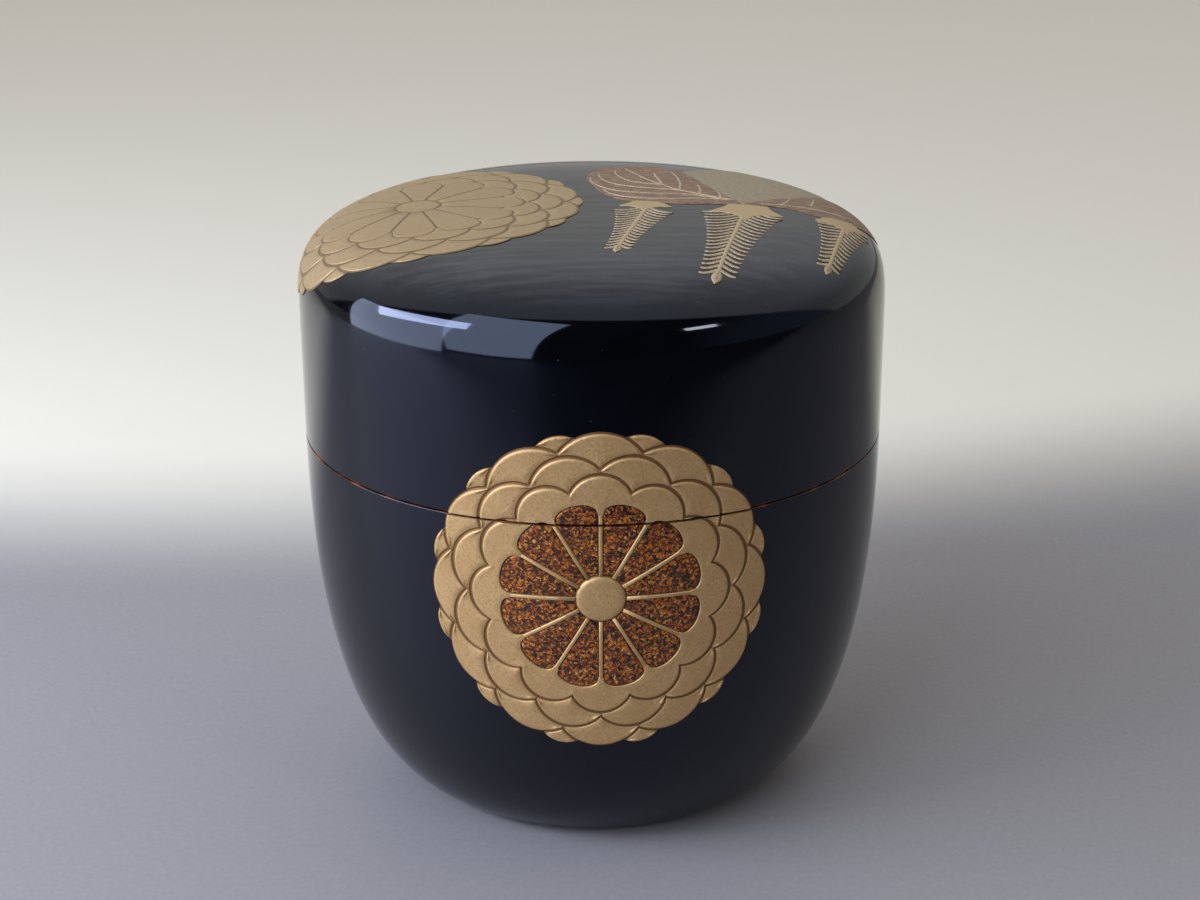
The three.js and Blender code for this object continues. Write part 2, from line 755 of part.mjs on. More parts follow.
// A flower head as flat triangles: a ladder of rows, with a tapered floret on each side of a rung.
function headPlate(head) {
  const rows = headRows(head);
  const points = rows.flatMap(([fall, out]) => [[fall, -out], [fall, out]]);
  const triangles = [];
  const addQuad = (a, b, c, d) => triangles.push([a, b, c], [a, c, d]);
  for (let row = 0; row < rows.length - 1; row += 1) {
    addQuad(2 * row, 2 * row + 2, 2 * row + 3, 2 * row + 1);
  }
  points.push([head.length, 0]);
  triangles.push([points.length - 3, points.length - 1, points.length - 2]);
  for (let floret = 0; floret < head.florets; floret += 1) {
    const left = 2 * (calyxShares.length + floret);
    const share = floret / (head.florets - 1);
    const [end, reach] = floretEnd(head, share, points[left][0]);
    const next = points.length;
    points.push([end, -reach], [end + floretWidth, -reach], [end, reach], [end + floretWidth, reach]);
    addQuad(left + 2, left, next, next + 1);
    addQuad(left + 1, left + 3, next + 3, next + 2);
  }
  return { points, triangles };
}

function flowerHead(head) {
  const x = sprayX + headShift + head.placeShare * headSpacing;
  const y = sprayY - headDrop - head.placeShare * headFall;
  const lean = THREE.MathUtils.degToRad(headAngle);
  const along = new THREE.Vector2(-Math.sin(lean), -Math.cos(lean));
  const across = new THREE.Vector2(-along.y, along.x);
  const { points, triangles } = headPlate(head);
  const spots = points.map(([fall, out]) =>
    new THREE.Vector2(x, y).addScaledVector(along, fall).addScaledVector(across, out));
  return laidOnLid(spots, triangles, reliefSeat, flowerThickness, head.step);
}

const caddy = new THREE.Group();

function addMesh(name, geometry, finish) {
  const mesh = new THREE.Mesh(geometry, new THREE.MeshStandardMaterial(finish));
  mesh.name = name;
  caddy.add(mesh);
}

function addSolid(name, solid, finish) {
  addMesh(name, geometryOf(solid), finish);
}

addMesh('body', turned(bodyProfile()), lacquer);
addMesh('lid', turned(lidProfile()), lacquer);

const belowSeam = beyondLevel(seamHeight - seamGap / 2, -1);
const aboveSeam = beyondLevel(lidBase + seamGap / 2, 1);
const roundel = frontGold();
addSolid('roundel_gold_body', roundel.intersect(belowSeam), gold);
addSolid('roundel_gold_lid', roundel.intersect(aboveSeam), gold);

for (let petal = 0; petal < petalCount; petal += 1) {
  const solid = solidOf(inlayPetal(petal));
  const number = String(petal + 1).padStart(2, '0');
  addSolid(`roundel_petal_${number}`, solid.intersect(belowSeam), flakes);
}
addSolid('roundel_petal_tip_right', solidOf(inlayPetal(2)).intersect(aboveSeam), flakes);
addSolid('roundel_petal_tip_left', solidOf(inlayPetal(3)).intersect(aboveSeam), flakes);

const lidRelief = flowerRelief(lidFlower, lidUndersideShares, lidPetalShares);
addMesh('lid_chrysanthemum', lidRelief, gold);

addSolid('paulownia_leaf_left', leafSolid(leaves.left), bronze);
addSolid('paulownia_leaf_right', leafSolid(leaves.right), bronze);
addSolid(
  'paulownia_leaf_centre',
  leafSolid(leaves.centre).subtract(leafCutter(leaves.left)).subtract(leafCutter(leaves.right)),
  gold,
);
addSolid('paulownia_veins_left', veins(leaves.left, leftMidribShares, leftVeinShares), paleGold);
addSolid('paulownia_veins_right', veins(leaves.right, rightMidribShares, rightVeinShares), paleGold);
addSolid('paulownia_flowers_left', flowerHead(flowerHeads.left), paleGold);
addSolid('paulownia_flowers_centre', flowerHead(flowerHeads.centre), paleGold);
addSolid(
  'paulownia_flowers_right',
  flowerHead(flowerHeads.right).subtract(leafCutter(leaves.right)),
  paleGold,
);

export default caddy;
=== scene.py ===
# %% [markdown]
# # A natsume tea caddy
#
# A natsume is a small turned wooden tea caddy under black lacquer. Its lid drops over a collar,
# and gold pictures stand up a little from the black: a round chrysanthemum on the front, another
# over the lid's left shoulder, and a paulownia spray on the right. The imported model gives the
# sizes and places. This script makes the smooth surfaces, the finishes, the light and the camera.

import bmesh
import bpy
import numpy as np
from mathutils import Matrix, Vector


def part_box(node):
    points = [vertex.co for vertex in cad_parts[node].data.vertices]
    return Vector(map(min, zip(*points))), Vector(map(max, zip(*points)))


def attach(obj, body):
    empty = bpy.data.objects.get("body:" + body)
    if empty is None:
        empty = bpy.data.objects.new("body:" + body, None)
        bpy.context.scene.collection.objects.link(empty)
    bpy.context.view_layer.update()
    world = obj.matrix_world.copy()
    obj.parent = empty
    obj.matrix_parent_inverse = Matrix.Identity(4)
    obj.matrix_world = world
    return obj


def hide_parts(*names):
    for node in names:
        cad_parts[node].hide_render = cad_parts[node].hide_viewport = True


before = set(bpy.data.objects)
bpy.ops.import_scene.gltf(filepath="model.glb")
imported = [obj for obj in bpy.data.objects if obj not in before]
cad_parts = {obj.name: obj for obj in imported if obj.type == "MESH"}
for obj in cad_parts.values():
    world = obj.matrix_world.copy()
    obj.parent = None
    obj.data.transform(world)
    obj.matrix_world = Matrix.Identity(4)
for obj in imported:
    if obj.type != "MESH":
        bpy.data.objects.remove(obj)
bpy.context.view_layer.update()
MM = 0.001

# %% [markdown]
# ## Sizes
#
# The radius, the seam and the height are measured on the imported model, so they can't drift away
# from it. The rest are the turner's own sizes: how round the foot is, how flat the dome, how
# thick the walls. Every length is in metres, written as millimetres times MM.

# %% Measure the turned pieces
_, body_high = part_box("body")
lid_low, lid_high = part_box("lid")
SEAM_GAP = 0.2 * MM
RADIUS = body_high.x
LID_BASE = lid_low.z
SEAM = LID_BASE - SEAM_GAP
DOME_BASE = SEAM + 12.9 * MM
DOME_HEIGHT = lid_high.z - DOME_BASE
COLLAR_TOP = body_high.z
FOOT_RADIUS = 23.55 * MM
FOOT_FLARE = 10.6 * MM
FOOT_RISE = 5.3 * MM
SHOULDER_DROP = 20.7 * MM
RADIUS_POWER = 3.82
HEIGHT_POWER = 5.18
LID_WALL = 2.2 * MM
LID_TOP = 3 * MM
COLLAR_RADIUS = RADIUS - LID_WALL - 0.25 * MM
COLLAR_WALL = 1.6 * MM
BASE = 4 * MM
print("radius mm", round(RADIUS / MM, 3), "seam mm", round(SEAM / MM, 3))

# %% [markdown]
# ## The wall and the dome as curves measured by their length
#
# A picture laid on a curved wall keeps its size along the surface, as a sheet of paper would. So
# both outlines are turned into tables by arc length: how far along the surface, the radius there,
# the height, and the direction the surface faces. The wall is one Bezier curve from the foot to
# the seam, and the dome is a quarter of a superellipse, flat on top with a tight round shoulder.

# %% Tables of the two outlines
def by_length(radius, height):
    """Arc length, radius, height and outward normal of a profile given as two arrays."""
    step = np.hypot(np.diff(radius), np.diff(height))
    length = np.concatenate([[0], np.cumsum(step)])
    slope_r = np.gradient(radius, length)
    slope_z = np.gradient(height, length)
    return length, radius, height, slope_z, -slope_r


def wall_outline(count=3000):
    """Cubic Bezier from the foot's edge to the seam: each point is the blend of four corners
    with weights (1-t)^3, 3(1-t)^2 t, 3(1-t)t^2 and t^3."""
    t = np.linspace(0, 1, count)
    weights = [(1 - t) ** 3, 3 * (1 - t) ** 2 * t, 3 * (1 - t) * t**2, t**3]
    radii = [FOOT_RADIUS, FOOT_RADIUS + FOOT_FLARE, RADIUS, RADIUS]
    heights = [0, FOOT_RISE, SEAM - SHOULDER_DROP, SEAM]
    radius = sum(w * r for w, r in zip(weights, radii))
    height = sum(w * z for w, z in zip(weights, heights))
    return radius, height


def dome_outline(radius, rise, count=3000):
    """Quarter superellipse from the axis to the wall: radius times sine to the power 2/p, and
    rise times cosine to the power 2/q, over a quarter turn."""
    angle = np.linspace(0, np.pi / 2, count)
    out = radius * np.sin(angle) ** (2 / RADIUS_POWER)
    up = rise * np.clip(np.cos(angle), 0, 1) ** (2 / HEIGHT_POWER)
    return out, DOME_BASE + up


WALL = by_length(*wall_outline())
DOME = by_length(*dome_outline(RADIUS, DOME_HEIGHT))
print("wall length mm", round(WALL[0][-1] / MM, 2), "dome length mm", round(DOME[0][-1] / MM, 2))

# %% [markdown]
# ## Meshes from rings
#
# Every new piece here is a closed skin: rings of equally many points, one after the other, drawn
# to a single point at both ends. A turned body is such a skin about the axis, a petal relief is
# one about the flower's centre, and a vein is one along its own line. One function puts the rings
# into a mesh, so each piece only has to say where its points lie.

# %% Put rings of points into a mesh
def skin_faces(rings, columns):
    """Faces of a skin of rings with one pole before and one after: fans at the poles and quads
    between neighbouring rings. Point 0 is the first pole and the last point is the other one."""
    column = np.arange(columns)
    after = (column + 1) % columns
    ring = 1 + np.arange(rings - 1)[:, None] * columns
    beyond = ring + columns
    quads = np.stack([ring + column, ring + after, beyond + after, beyond + column], -1)
    last = 1 + (rings - 1) * columns
    first_fan = np.stack([np.zeros_like(column), 1 + after, 1 + column], -1)
    last_fan = np.stack([last + column, last + after, np.full_like(column, last + columns)], -1)
    return quads.reshape(-1, 4).tolist(), first_fan.tolist() + last_fan.tolist()


def face_outwards(mesh):
    """Turns the faces of closed skins so that they all face outwards."""
    shell = bmesh.new()
    shell.from_mesh(mesh)
    bmesh.ops.recalc_face_normals(shell, faces=shell.faces)
    shell.to_mesh(mesh)
    shell.free()


def mesh_object(name, points, faces, body, values=None):
    """A smooth-shaded object from points and faces, with named numbers kept for each point."""
    mesh = bpy.data.meshes.new(name)
    mesh.from_pydata(points.tolist(), [], faces)
    for key, numbers in (values or {}).items():
        kept = mesh.attributes.new(key, "FLOAT", "POINT").data
        kept.foreach_set("value", numbers.astype(np.float32))
    face_outwards(mesh)
    mesh.shade_smooth()
    piece = bpy.data.objects.new(name, mesh)
    bpy.context.scene.collection.objects.link(piece)
    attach(piece, body)
    print(name, "points", len(points), "faces", len(faces))
    return piece


def skins(parts):
    """Several closed skins joined in one list of points and one of faces. Each part is an array
    of rings, with the first and the last ring drawn together to their middle."""
    points, faces, start = [], [], 0
    for rings in parts:
        inner = rings[1:-1]
        quads, fans = skin_faces(len(inner), rings.shape[1])
        whole = np.concatenate([[rings[0].mean(0)], inner.reshape(-1, 3), [rings[-1].mean(0)]])
        faces += [[start + corner for corner in face] for face in quads + fans]
        points.append(whole)
        start += len(whole)
    return np.concatenate(points), faces


print("faces of a skin of 2 rings of 4 points", sum(len(kind) for kind in skin_faces(2, 4)))

# %% [markdown]
# ## Body and lid
#
# Both are turned on a lathe, so a profile swept round the axis is the natural way to make them.
# The edges at the seam are only softened, and the collar and the hollow are finished as well,
# because the lid comes off. A turning of 256 columns keeps the reflections free of facets.

# %% Turn the body and the lid
def arc(x, z, radius, start, end, count=6):
    """Points of a round edge: centre plus radius times cosine and sine from start to end."""
    angle = np.radians(np.linspace(start, end, count))
    return np.stack([x + radius * np.cos(angle), z + radius * np.sin(angle)], -1)


def along(table, count, inset=0.0):
    """Points spread evenly by length along an outline, moved inwards by an inset."""
    length, radius, height, out_r, out_z = table
    at = np.linspace(0, length[-1], count)
    r = np.interp(at, length, radius) - inset * np.interp(at, length, out_r)
    z = np.interp(at, length, height) - inset * np.interp(at, length, out_z)
    return np.stack([r, z], -1)


def straight(start, end, count=8):
    """Evenly spaced points from start to end, without the end itself."""
    share = np.linspace(0, 1, count, endpoint=False)[:, None]
    return np.array(start) * (1 - share) + np.array(end) * share


EDGE = 0.12 * MM
FOOT_RING = 3.5 * MM
FOOT_RECESS = 0.8 * MM
FOOT_EDGE = 0.4 * MM
ROUND_FLOOR = 1.5 * MM


def body_profile():
    """The body's section from the middle of its foot, up the wall, over the collar and inside."""
    ring = FOOT_RADIUS - FOOT_RING
    inner = COLLAR_RADIUS - COLLAR_WALL
    inset = RADIUS - inner
    outside = along(WALL, 120)
    outside = outside[(outside[:, 1] > FOOT_EDGE) & (outside[:, 1] < SEAM - EDGE)]
    inside = along(WALL, 90, inset)
    meeting = np.interp(BASE, inside[:, 1], inside[:, 0])
    inside = inside[(inside[:, 1] > BASE + ROUND_FLOOR) & (inside[:, 1] < SEAM)][::-1]
    t = np.linspace(0, 1, 12)[1:, None]
    bend = np.array([meeting, BASE])
    floor = np.array([meeting - 2 * ROUND_FLOOR, BASE])
    corner = (1 - t) ** 2 * inside[-1] + 2 * (1 - t) * t * bend + t**2 * floor
    return np.concatenate([
        straight((0, FOOT_RECESS), (ring - FOOT_EDGE, FOOT_RECESS)),
        arc(ring - FOOT_EDGE, FOOT_RECESS - FOOT_EDGE, FOOT_EDGE, 90, 0),
        arc(ring + FOOT_EDGE, FOOT_EDGE, FOOT_EDGE, 180, 270),
        straight((ring + 2 * FOOT_EDGE, 0), (FOOT_RADIUS - FOOT_EDGE, 0)),
        arc(FOOT_RADIUS - FOOT_EDGE, FOOT_EDGE, FOOT_EDGE, 270, 297),
        outside,
        arc(RADIUS - EDGE, SEAM - EDGE, EDGE, 0, 90),
        straight((RADIUS - 2 * EDGE, SEAM), (COLLAR_RADIUS, SEAM)),
        straight((COLLAR_RADIUS, SEAM), (COLLAR_RADIUS, COLLAR_TOP - EDGE)),
        arc(COLLAR_RADIUS - EDGE, COLLAR_TOP - EDGE, EDGE, 0, 90),
        arc(inner + EDGE, COLLAR_TOP - EDGE, EDGE, 90, 180),
        straight((inner, COLLAR_TOP - 2 * EDGE), (inner, SEAM)),
        inside,
        corner,
        straight(floor, (0, BASE))[1:],
        [[0, BASE]],
    ])


def lid_profile():
    """The lid's section from the middle of its ceiling, down inside and up over the dome."""
    mouth = RADIUS - LID_WALL
    ceiling = along(by_length(*dome_outline(mouth, DOME_HEIGHT - LID_TOP)), 90)
    dome = along(DOME, 170)[::-1]
    return np.concatenate([
        ceiling,
        straight((mouth, DOME_BASE - EDGE), (mouth, LID_BASE + EDGE)),
        arc(mouth + EDGE, LID_BASE + EDGE, EDGE, 180, 270),
        arc(RADIUS - EDGE, LID_BASE + EDGE, EDGE, 270, 360),
        straight((RADIUS, LID_BASE + 2 * EDGE), (RADIUS, DOME_BASE - EDGE)),
        dome,
    ])


def turned(name, profile, node, body, columns=256):
    """A profile swept round the axis: x is radius times cosine, y is radius times sine."""
    apart = np.hypot(*np.diff(profile, axis=0).T) > 0.001 * MM
    profile = profile[np.concatenate([[True], apart])]
    angle = np.linspace(0, 2 * np.pi, columns, endpoint=False)
    radius, height = profile[:, 0, None], profile[:, 1, None]
    x = radius * np.cos(angle)
    y = radius * np.sin(angle)
    rings = np.stack([x, y, np.broadcast_to(height, x.shape)], -1)
    piece = mesh_object(name, *skins([rings]), body)
    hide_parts(node)
    return piece


body_piece = turned("body_turned", body_profile(), "body", "body")
lid_piece = turned("lid_turned", lid_profile(), "lid", "lid")

# %% [markdown]
# ## Laying a picture on the caddy
#
# A picture is drawn flat, in metres along the surface, and then laid on. On the front the first
# number runs round the wall and the second up it from the flower's centre. On the lid both are
# measured from the middle of the top. A third number says how far a point stands off the lacquer.

# %% Lay flat points on the wall and on the lid
ROUNDEL_DROP = 9.2 * MM
centre_radius = np.interp(WALL[0][-1] - ROUNDEL_DROP, WALL[0], WALL[1])


def on_wall(across, up, out):
    """Angle is across over the radius at the flower's centre; up runs along the wall's length
    to the seam and goes straight on above it; out moves along the surface's normal."""
    above = up - ROUNDEL_DROP
    at = WALL[0][-1] + np.minimum(above, 0)
    radius, height, out_r, out_z = (np.interp(at, WALL[0], column) for column in WALL[1:])
    radius = radius + out * out_r
    height = height + np.maximum(above, 0) + out * out_z
    angle = across / centre_radius
    return np.stack([radius * np.sin(angle), -radius * np.cos(angle), height], -1)


def on_lid(x, y, out):
    """The distance from the middle, sqrt(x^2 + y^2), runs along the dome and on down the wall,
    and the direction stays."""
    away = np.hypot(x, y)
    angle = np.arctan2(y, x)
    radius, height, out_r, out_z = (np.interp(away, DOME[0], column) for column in DOME[1:])
    height = height - np.maximum(away - DOME[0][-1], 0)
    radius = radius - out * out_r
    height = height - out * out_z
    return np.stack([radius * np.cos(angle), radius * np.sin(angle), height], -1)


print("a point 1 mm off the lid's top", on_lid(np.array(0.0), np.array(0.0), 1 * MM) / MM)

# %% [markdown]
# ## The chrysanthemum relief
#
# Raised maki-e is lacquer built up under the gold, so the petals of a chrysanthemum stand like
# roof tiles: each layer rises to a round rim and drops into a groove. The petal ends are arcs of
# a circle, so every edge has a formula. The relief is a grid of rings and columns whose rings
# follow those edges, which keeps the rims sharp without a huge mesh.

# %% The edges of the petals
PETALS = 12
PETAL = 2 * np.pi / PETALS
EYE = 2.8 * MM
GROOVE = 0.4 * MM
SUNK = -0.02 * MM
FLOOR = 0.13 * MM
NARROW = 0.8 * MM


def petal_edge(share, at, tip, bend):
    """Radius of a row of petal ends. With a the angle from a petal's axis and c = tip - bend, an
    arc of radius bend lies at c cos a + sqrt(bend^2 - (c sin a)^2), and at 0 past its sides."""
    a = np.abs((share - at + 1.5) % 1 - 0.5) * PETAL
    c = (tip - bend) * MM
    inside = (bend * MM) ** 2 - (c * np.sin(a)) ** 2
    return np.where(inside > 0, c * np.cos(a) + np.sqrt(np.maximum(inside, 0)), 0)


def petal_tip(across, root, reach, power):
    """The end of an inner petal: root + (reach - root)(1 - |across|^power)^(1/power)."""
    rounding = (1 - np.minimum(np.abs(across), 1) ** power) ** (1 / power)
    return (root + (reach - root) * rounding) * MM


print("first layer's tip and cusp, mm", petal_edge(np.array([0, 0.5]), 0, 15.3, 3.73) / MM)

# %% [markdown]
# ## One petal's grid
#
# Twelve equal petals need only one to be worked out. Its columns run from spoke to spoke. Near a
# spoke they keep a fixed distance from it, so a spoke has straight parallel sides, and further out
# they spread evenly. Each row of the list below is one ring: how far out, and how high.

# %% Rings of one flower
SIDE = 5
COLUMNS = 40
EVEN = np.arange(COLUMNS) / COLUMNS
FLAT = np.ones(COLUMNS)


def kept_shares(radius, offsets):
    """Place of the columns between two spokes, from 0 to 1: beside a spoke a column stands at
    offset / radius, turned into a share of a petal, and those between are spread evenly."""
    side = offsets / np.maximum(radius[:SIDE], EYE) / PETAL
    edge = side[-1]
    step = (1 - 2 * edge) / (COLUMNS - 2 * SIDE + 2)
    middle = edge + step * np.arange(1, COLUMNS - 2 * SIDE + 2)
    return np.concatenate([side, middle, 1 - side[:0:-1]])


def across_petal():
    """How far a column is from the petal's axis: -1 to 1 between the columns beside spokes."""
    return np.clip((np.arange(COLUMNS) - COLUMNS / 2) / (COLUMNS / 2 - SIDE + 1), -1, 1)


def side_heights(heights, middle):
    """Heights along a ring: given ones beside both spokes and one height in the middle."""
    level = np.full(COLUMNS - 2 * SIDE + 1, middle)
    return np.concatenate([heights, level, heights[:0:-1]]) * MM


def band(inner, outer, rows, warp=0.0):
    """Rings between two edges: inner + share (outer - inner) + distance, where the distance and
    the height above the groove's floor shrink with the width in a narrow place. The columns go
    over from kept to even places on the way out."""
    width = outer - inner
    room = np.clip(width / NARROW, 0, 1)
    rings = []
    for share, gap, height in rows:
        raised = FLOOR + (height * MM - FLOOR) * room
        rings.append((inner + share * width + gap * MM * room, raised, warp * (1 - share)))
    return rings


def outer_layers(inner, tips, rows):
    """Rows of petals one behind the other, and the tips of a last row that look out between."""
    rings = []
    for tip in tips[:-1]:
        edge = petal_edge(EVEN, *tip)
        rings += band(inner, edge, rows)
        inner = edge + GROOVE
    outer = np.maximum(petal_edge(EVEN, *tips[-1]), edge + GROOVE / 2)
    rings += band(np.minimum(inner, outer - 0.05 * MM), outer, rows[:-2])
    rings.append((outer + 0.03 * MM, SUNK * FLAT, 0))
    return rings + [(outer * part, SUNK * FLAT, 0) for part in (0.8, 0.6, 0.4, 0.2, 0.001)]


def flower_mesh(name, rings, offsets, place, turned_by, centre, body, relief=1.0):
    """A flower's closed skin: angle = turned_by + (petal + share) PETAL round its centre, and
    the heights times the relief. It keeps how deep in a groove each point lies, from 0 to 1."""
    petal = np.arange(PETALS)[:, None]
    points, depths = [], []
    for radius, height, warp in rings:
        share = EVEN + (kept_shares(radius, offsets) - EVEN) * warp
        angle = turned_by + (petal + share) * PETAL
        x = centre[0] + radius * np.cos(angle)
        y = centre[1] + radius * np.sin(angle)
        height = np.broadcast_to(height, angle.shape)
        points.append(place(x, y, height * relief).reshape(-1, 3))
        depths.append(np.clip((0.25 * MM - height.reshape(-1)) / (0.1 * MM), 0, 1))
    points, faces = skins([np.array(points)])
    ends = [depths[0][:1], *depths[1:-1], depths[-1][:1]]
    return mesh_object(name, points, faces, body, {"groove": np.concatenate(ends)})


LAYER_ROWS = [
    (0, 0.0, 0.14), (0, 0.05, 0.23), (0, 0.13, 0.28), (0.3, 0, 0.31), (0.6, 0, 0.35),
    (1, -0.42, 0.4), (1, -0.24, 0.405), (1, -0.12, 0.37), (1, -0.03, 0.29), (1, 0.03, 0.18),
    (1, 0.07, 0.13),
]
FLAT_ROWS = [
    (0, 0.0, 0.14), (0, 0.04, 0.2), (0, 0.1, 0.25), (0.4, 0, 0.26), (1, -0.3, 0.28),
    (1, -0.1, 0.27), (1, -0.03, 0.23), (1, 0.02, 0.14), (1, 0.05, 0.13),
]
print("columns in a ring", PETALS * COLUMNS)

# %% [markdown]
# ## The front flower
#
# Its twelve inner petals aren't gold: they are beds between gold spokes, filled with flakes. So
# the gold has a low floor there, and the flaked petals are laid into it as pieces of their own.
# The lid's edge cuts the flower in two, so the finished gold is cut at the seam and closed.

# %% Model the front flower's gold and cut it at the seam
FRONT_TIPS = [(0, 15.3, 3.73), (0.5, 17.9, 4.6), (0, 20.4, 5.71), (0.5, 20.7, 3.76)]
SPOKE_OFFSETS = np.array([0, 0.1, 0.16, 0.21, 0.26]) * MM
SPOKE_HEIGHTS = np.array([0.37, 0.37, 0.35, 0.3, 0.09])
BED_TIP = (10.5, 12.05, 2.3)
EYE_ROWS = [
    (0.001, 0.5), (0.35, 0.5), (0.7, 0.49), (0.88, 0.46), (0.95, 0.41), (0.99, 0.33),
    (1.02, 0.2), (1.05, 0.12),
]


def front_gold_rings():
    """Rings from the eye's middle over the spokes and beds and out over the layers."""
    tip = petal_tip(across_petal(), *BED_TIP)
    start = EYE + 0.2 * MM
    bed = side_heights(SPOKE_HEIGHTS, SPOKE_HEIGHTS[-1])
    edge = petal_edge(EVEN, *FRONT_TIPS[0])
    rings = [(EYE * out * FLAT, rise * MM * FLAT, 1) for out, rise in EYE_ROWS]
    rings += [(start + (tip - start) * part, bed, 1) for part in (0, 0.33, 0.66, 1)]
    rings.append((tip + 0.05 * MM, 0.33 * MM * FLAT, 1))
    rings += band(tip + 0.1 * MM, edge, [(0, 0, 0.35)] + LAYER_ROWS[3:], 1)
    return rings + outer_layers(edge + GROOVE, FRONT_TIPS[1:], LAYER_ROWS)


def cut_at(piece, height, keep):
    """Keeps what is above a level (keep 1) or below it (keep -1), and closes the cut."""
    shell = bmesh.new()
    shell.from_mesh(piece.data)
    parts = shell.verts[:] + shell.edges[:] + shell.faces[:]
    level = {"plane_co": (0, 0, height), "plane_no": (0, 0, keep)}
    cut = bmesh.ops.bisect_plane(shell, geom=parts, dist=1e-9, clear_inner=True, **level)
    rim = [part for part in cut["geom_cut"] if isinstance(part, bmesh.types.BMEdge)]
    lids = bmesh.ops.edgenet_fill(shell, edges=rim)["faces"]
    bmesh.ops.triangulate(shell, faces=lids)
    bmesh.ops.recalc_face_normals(shell, faces=shell.faces)
    for edge in rim:
        edge.smooth = False
    shell.to_mesh(piece.data)
    shell.free()
    return piece


def front_gold(name, body):
    """The whole front flower, before it is cut at the seam."""
    return flower_mesh(name, front_gold_rings(), SPOKE_OFFSETS, on_wall, 0, (0, 0), body)


CUT_BELOW, CUT_ABOVE = SEAM - EDGE / 2, LID_BASE + EDGE / 2
gold_below = cut_at(front_gold("roundel_gold_below", "body"), CUT_BELOW, -1)
gold_above = cut_at(front_gold("roundel_gold_above", "lid"), CUT_ABOVE, 1)
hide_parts("roundel_gold_body")
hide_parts("roundel_gold_lid")

# %% [markdown]
# ## Flaked petals
#
# Each inner petal is a thin cushion of reddish lacquer full of gold flakes. Its outline follows
# the two spokes and ends in a blunt round tip. A plate over an outline is made by drawing the
# outline in towards its middle, ring by ring, while the height follows a flat crown.

# %% Lay the flaked petals into their beds
FLAKE_START, FLAKE_SIDE, FLAKE_SHORT = 0.24 * MM, 0.3 * MM, 0.08
FLAKE_MIDDLE, FLAKE_EDGE, FLAKE_CROWN = 8 * MM, 0.22 * MM, 0.3 * MM
FLAKE_SHARES = [0.975, 0.93, 0.85, 0.7, 0.5, 0.3, 0.1, 0.001]
CUT_PETALS = 1, 2, 3, 4


def plate(outline, middle, place, edge, crown, shares):
    """Rings of a thin plate: point = middle + share (outline - middle), and its height is
    crown - (crown - edge) share^4, over a flat underside a little below the surface."""
    middle = np.array(middle)

    def ring(share, height):
        spots = middle + share * (outline - middle)
        return place(spots[:, 0], spots[:, 1], np.full(len(outline), height))

    under = [ring(share, SUNK) for share in (0.001, 0.3, 0.6, 0.85, 1)]
    wall = [ring(1, edge * 0.45), ring(1 - 0.25 * (1 - shares[0]), edge * 0.8)]
    top = [ring(share, crown - (crown - edge) * share**4) for share in shares]
    return np.array(under + wall + top)


def petal_outline(petal):
    """Closed line round one bed: out along one spoke, across the blunt tip and back."""
    climb = np.linspace(0, 1, 24)[1:-1]
    spoke = np.ones(22)
    across = np.concatenate([np.linspace(-1, 1, 12), spoke, np.linspace(1, -1, 42), -spoke])
    out = np.concatenate([np.zeros(12), climb, np.ones(42), climb[::-1]])
    root, reach, power = BED_TIP
    tip = petal_tip(across, root - FLAKE_SHORT, reach - FLAKE_SHORT, power)
    start = EYE + FLAKE_START
    radius = start + out * (tip - start)
    side = FLAKE_SIDE / radius / PETAL
    angle = (petal + side + (1 - 2 * side) * (across + 1) / 2) * PETAL
    return np.stack([radius * np.cos(angle), radius * np.sin(angle)], -1)


def flaked_petal(petal, name, body):
    """One cushion, whole, about a middle on the petal's axis."""
    angle = (petal + 0.5) * PETAL
    middle = FLAKE_MIDDLE * np.array([np.cos(angle), np.sin(angle)])
    outline = petal_outline(petal)
    rings = plate(outline, middle, on_wall, FLAKE_EDGE, FLAKE_CROWN, FLAKE_SHARES)
    return mesh_object(name, *skins([rings]), body)


flaked = []
for petal in range(PETALS):
    piece = flaked_petal(petal, f"flaked_petal_{petal + 1:02d}", "body")
    if petal in CUT_PETALS:
        cut_at(piece, CUT_BELOW, -1)
    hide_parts(f"roundel_petal_{petal + 1:02d}")
    flaked.append(piece)
for petal, side in ((2, "right"), (3, "left")):
    piece = cut_at(flaked_petal(petal, f"flaked_tip_{side}", "lid"), CUT_ABOVE, 1)
    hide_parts(f"roundel_petal_tip_{side}")
    flaked.append(piece)
print("flaked pieces", len(flaked))

# %% [markdown]
# ## The chrysanthemum on the lid
#
# This one is flat gold: its petals are parted by fine dark lines, which the maker draws or
# scratches before the gold goes on. So the same rings are used with hardly any height, and the
# lines are narrow grooves beside which the gold stays level.

# %% Model the lid's flower
LID_CENTRE = (-21.756 * MM, 0.185 * MM)
LID_TIPS = [(0, 15.5, 3.8), (0.5, 18.0, 4.6), (0, 20.4, 5.71), (0.5, 20.7, 3.76)]
LINE_OFFSETS = np.array([0, 0.07, 0.13, 0.2, 0.32]) * MM
LINE_HEIGHTS = np.array([0.13, 0.13, 0.16, 0.24, 0.26])
LID_EYE_ROWS = [
    (0.001, 0.28), (0.4, 0.28), (0.85, 0.27), (0.93, 0.25), (0.97, 0.16), (1.0, 0.13),
    (1.06, 0.13),
]
INNER_TIP = (10.9, 13.3, 2.0)
PETAL_PARTS = 0, 0.15, 0.3, 0.5, 0.7, 0.85, 0.96, 1
LID_RELIEF = 0.6


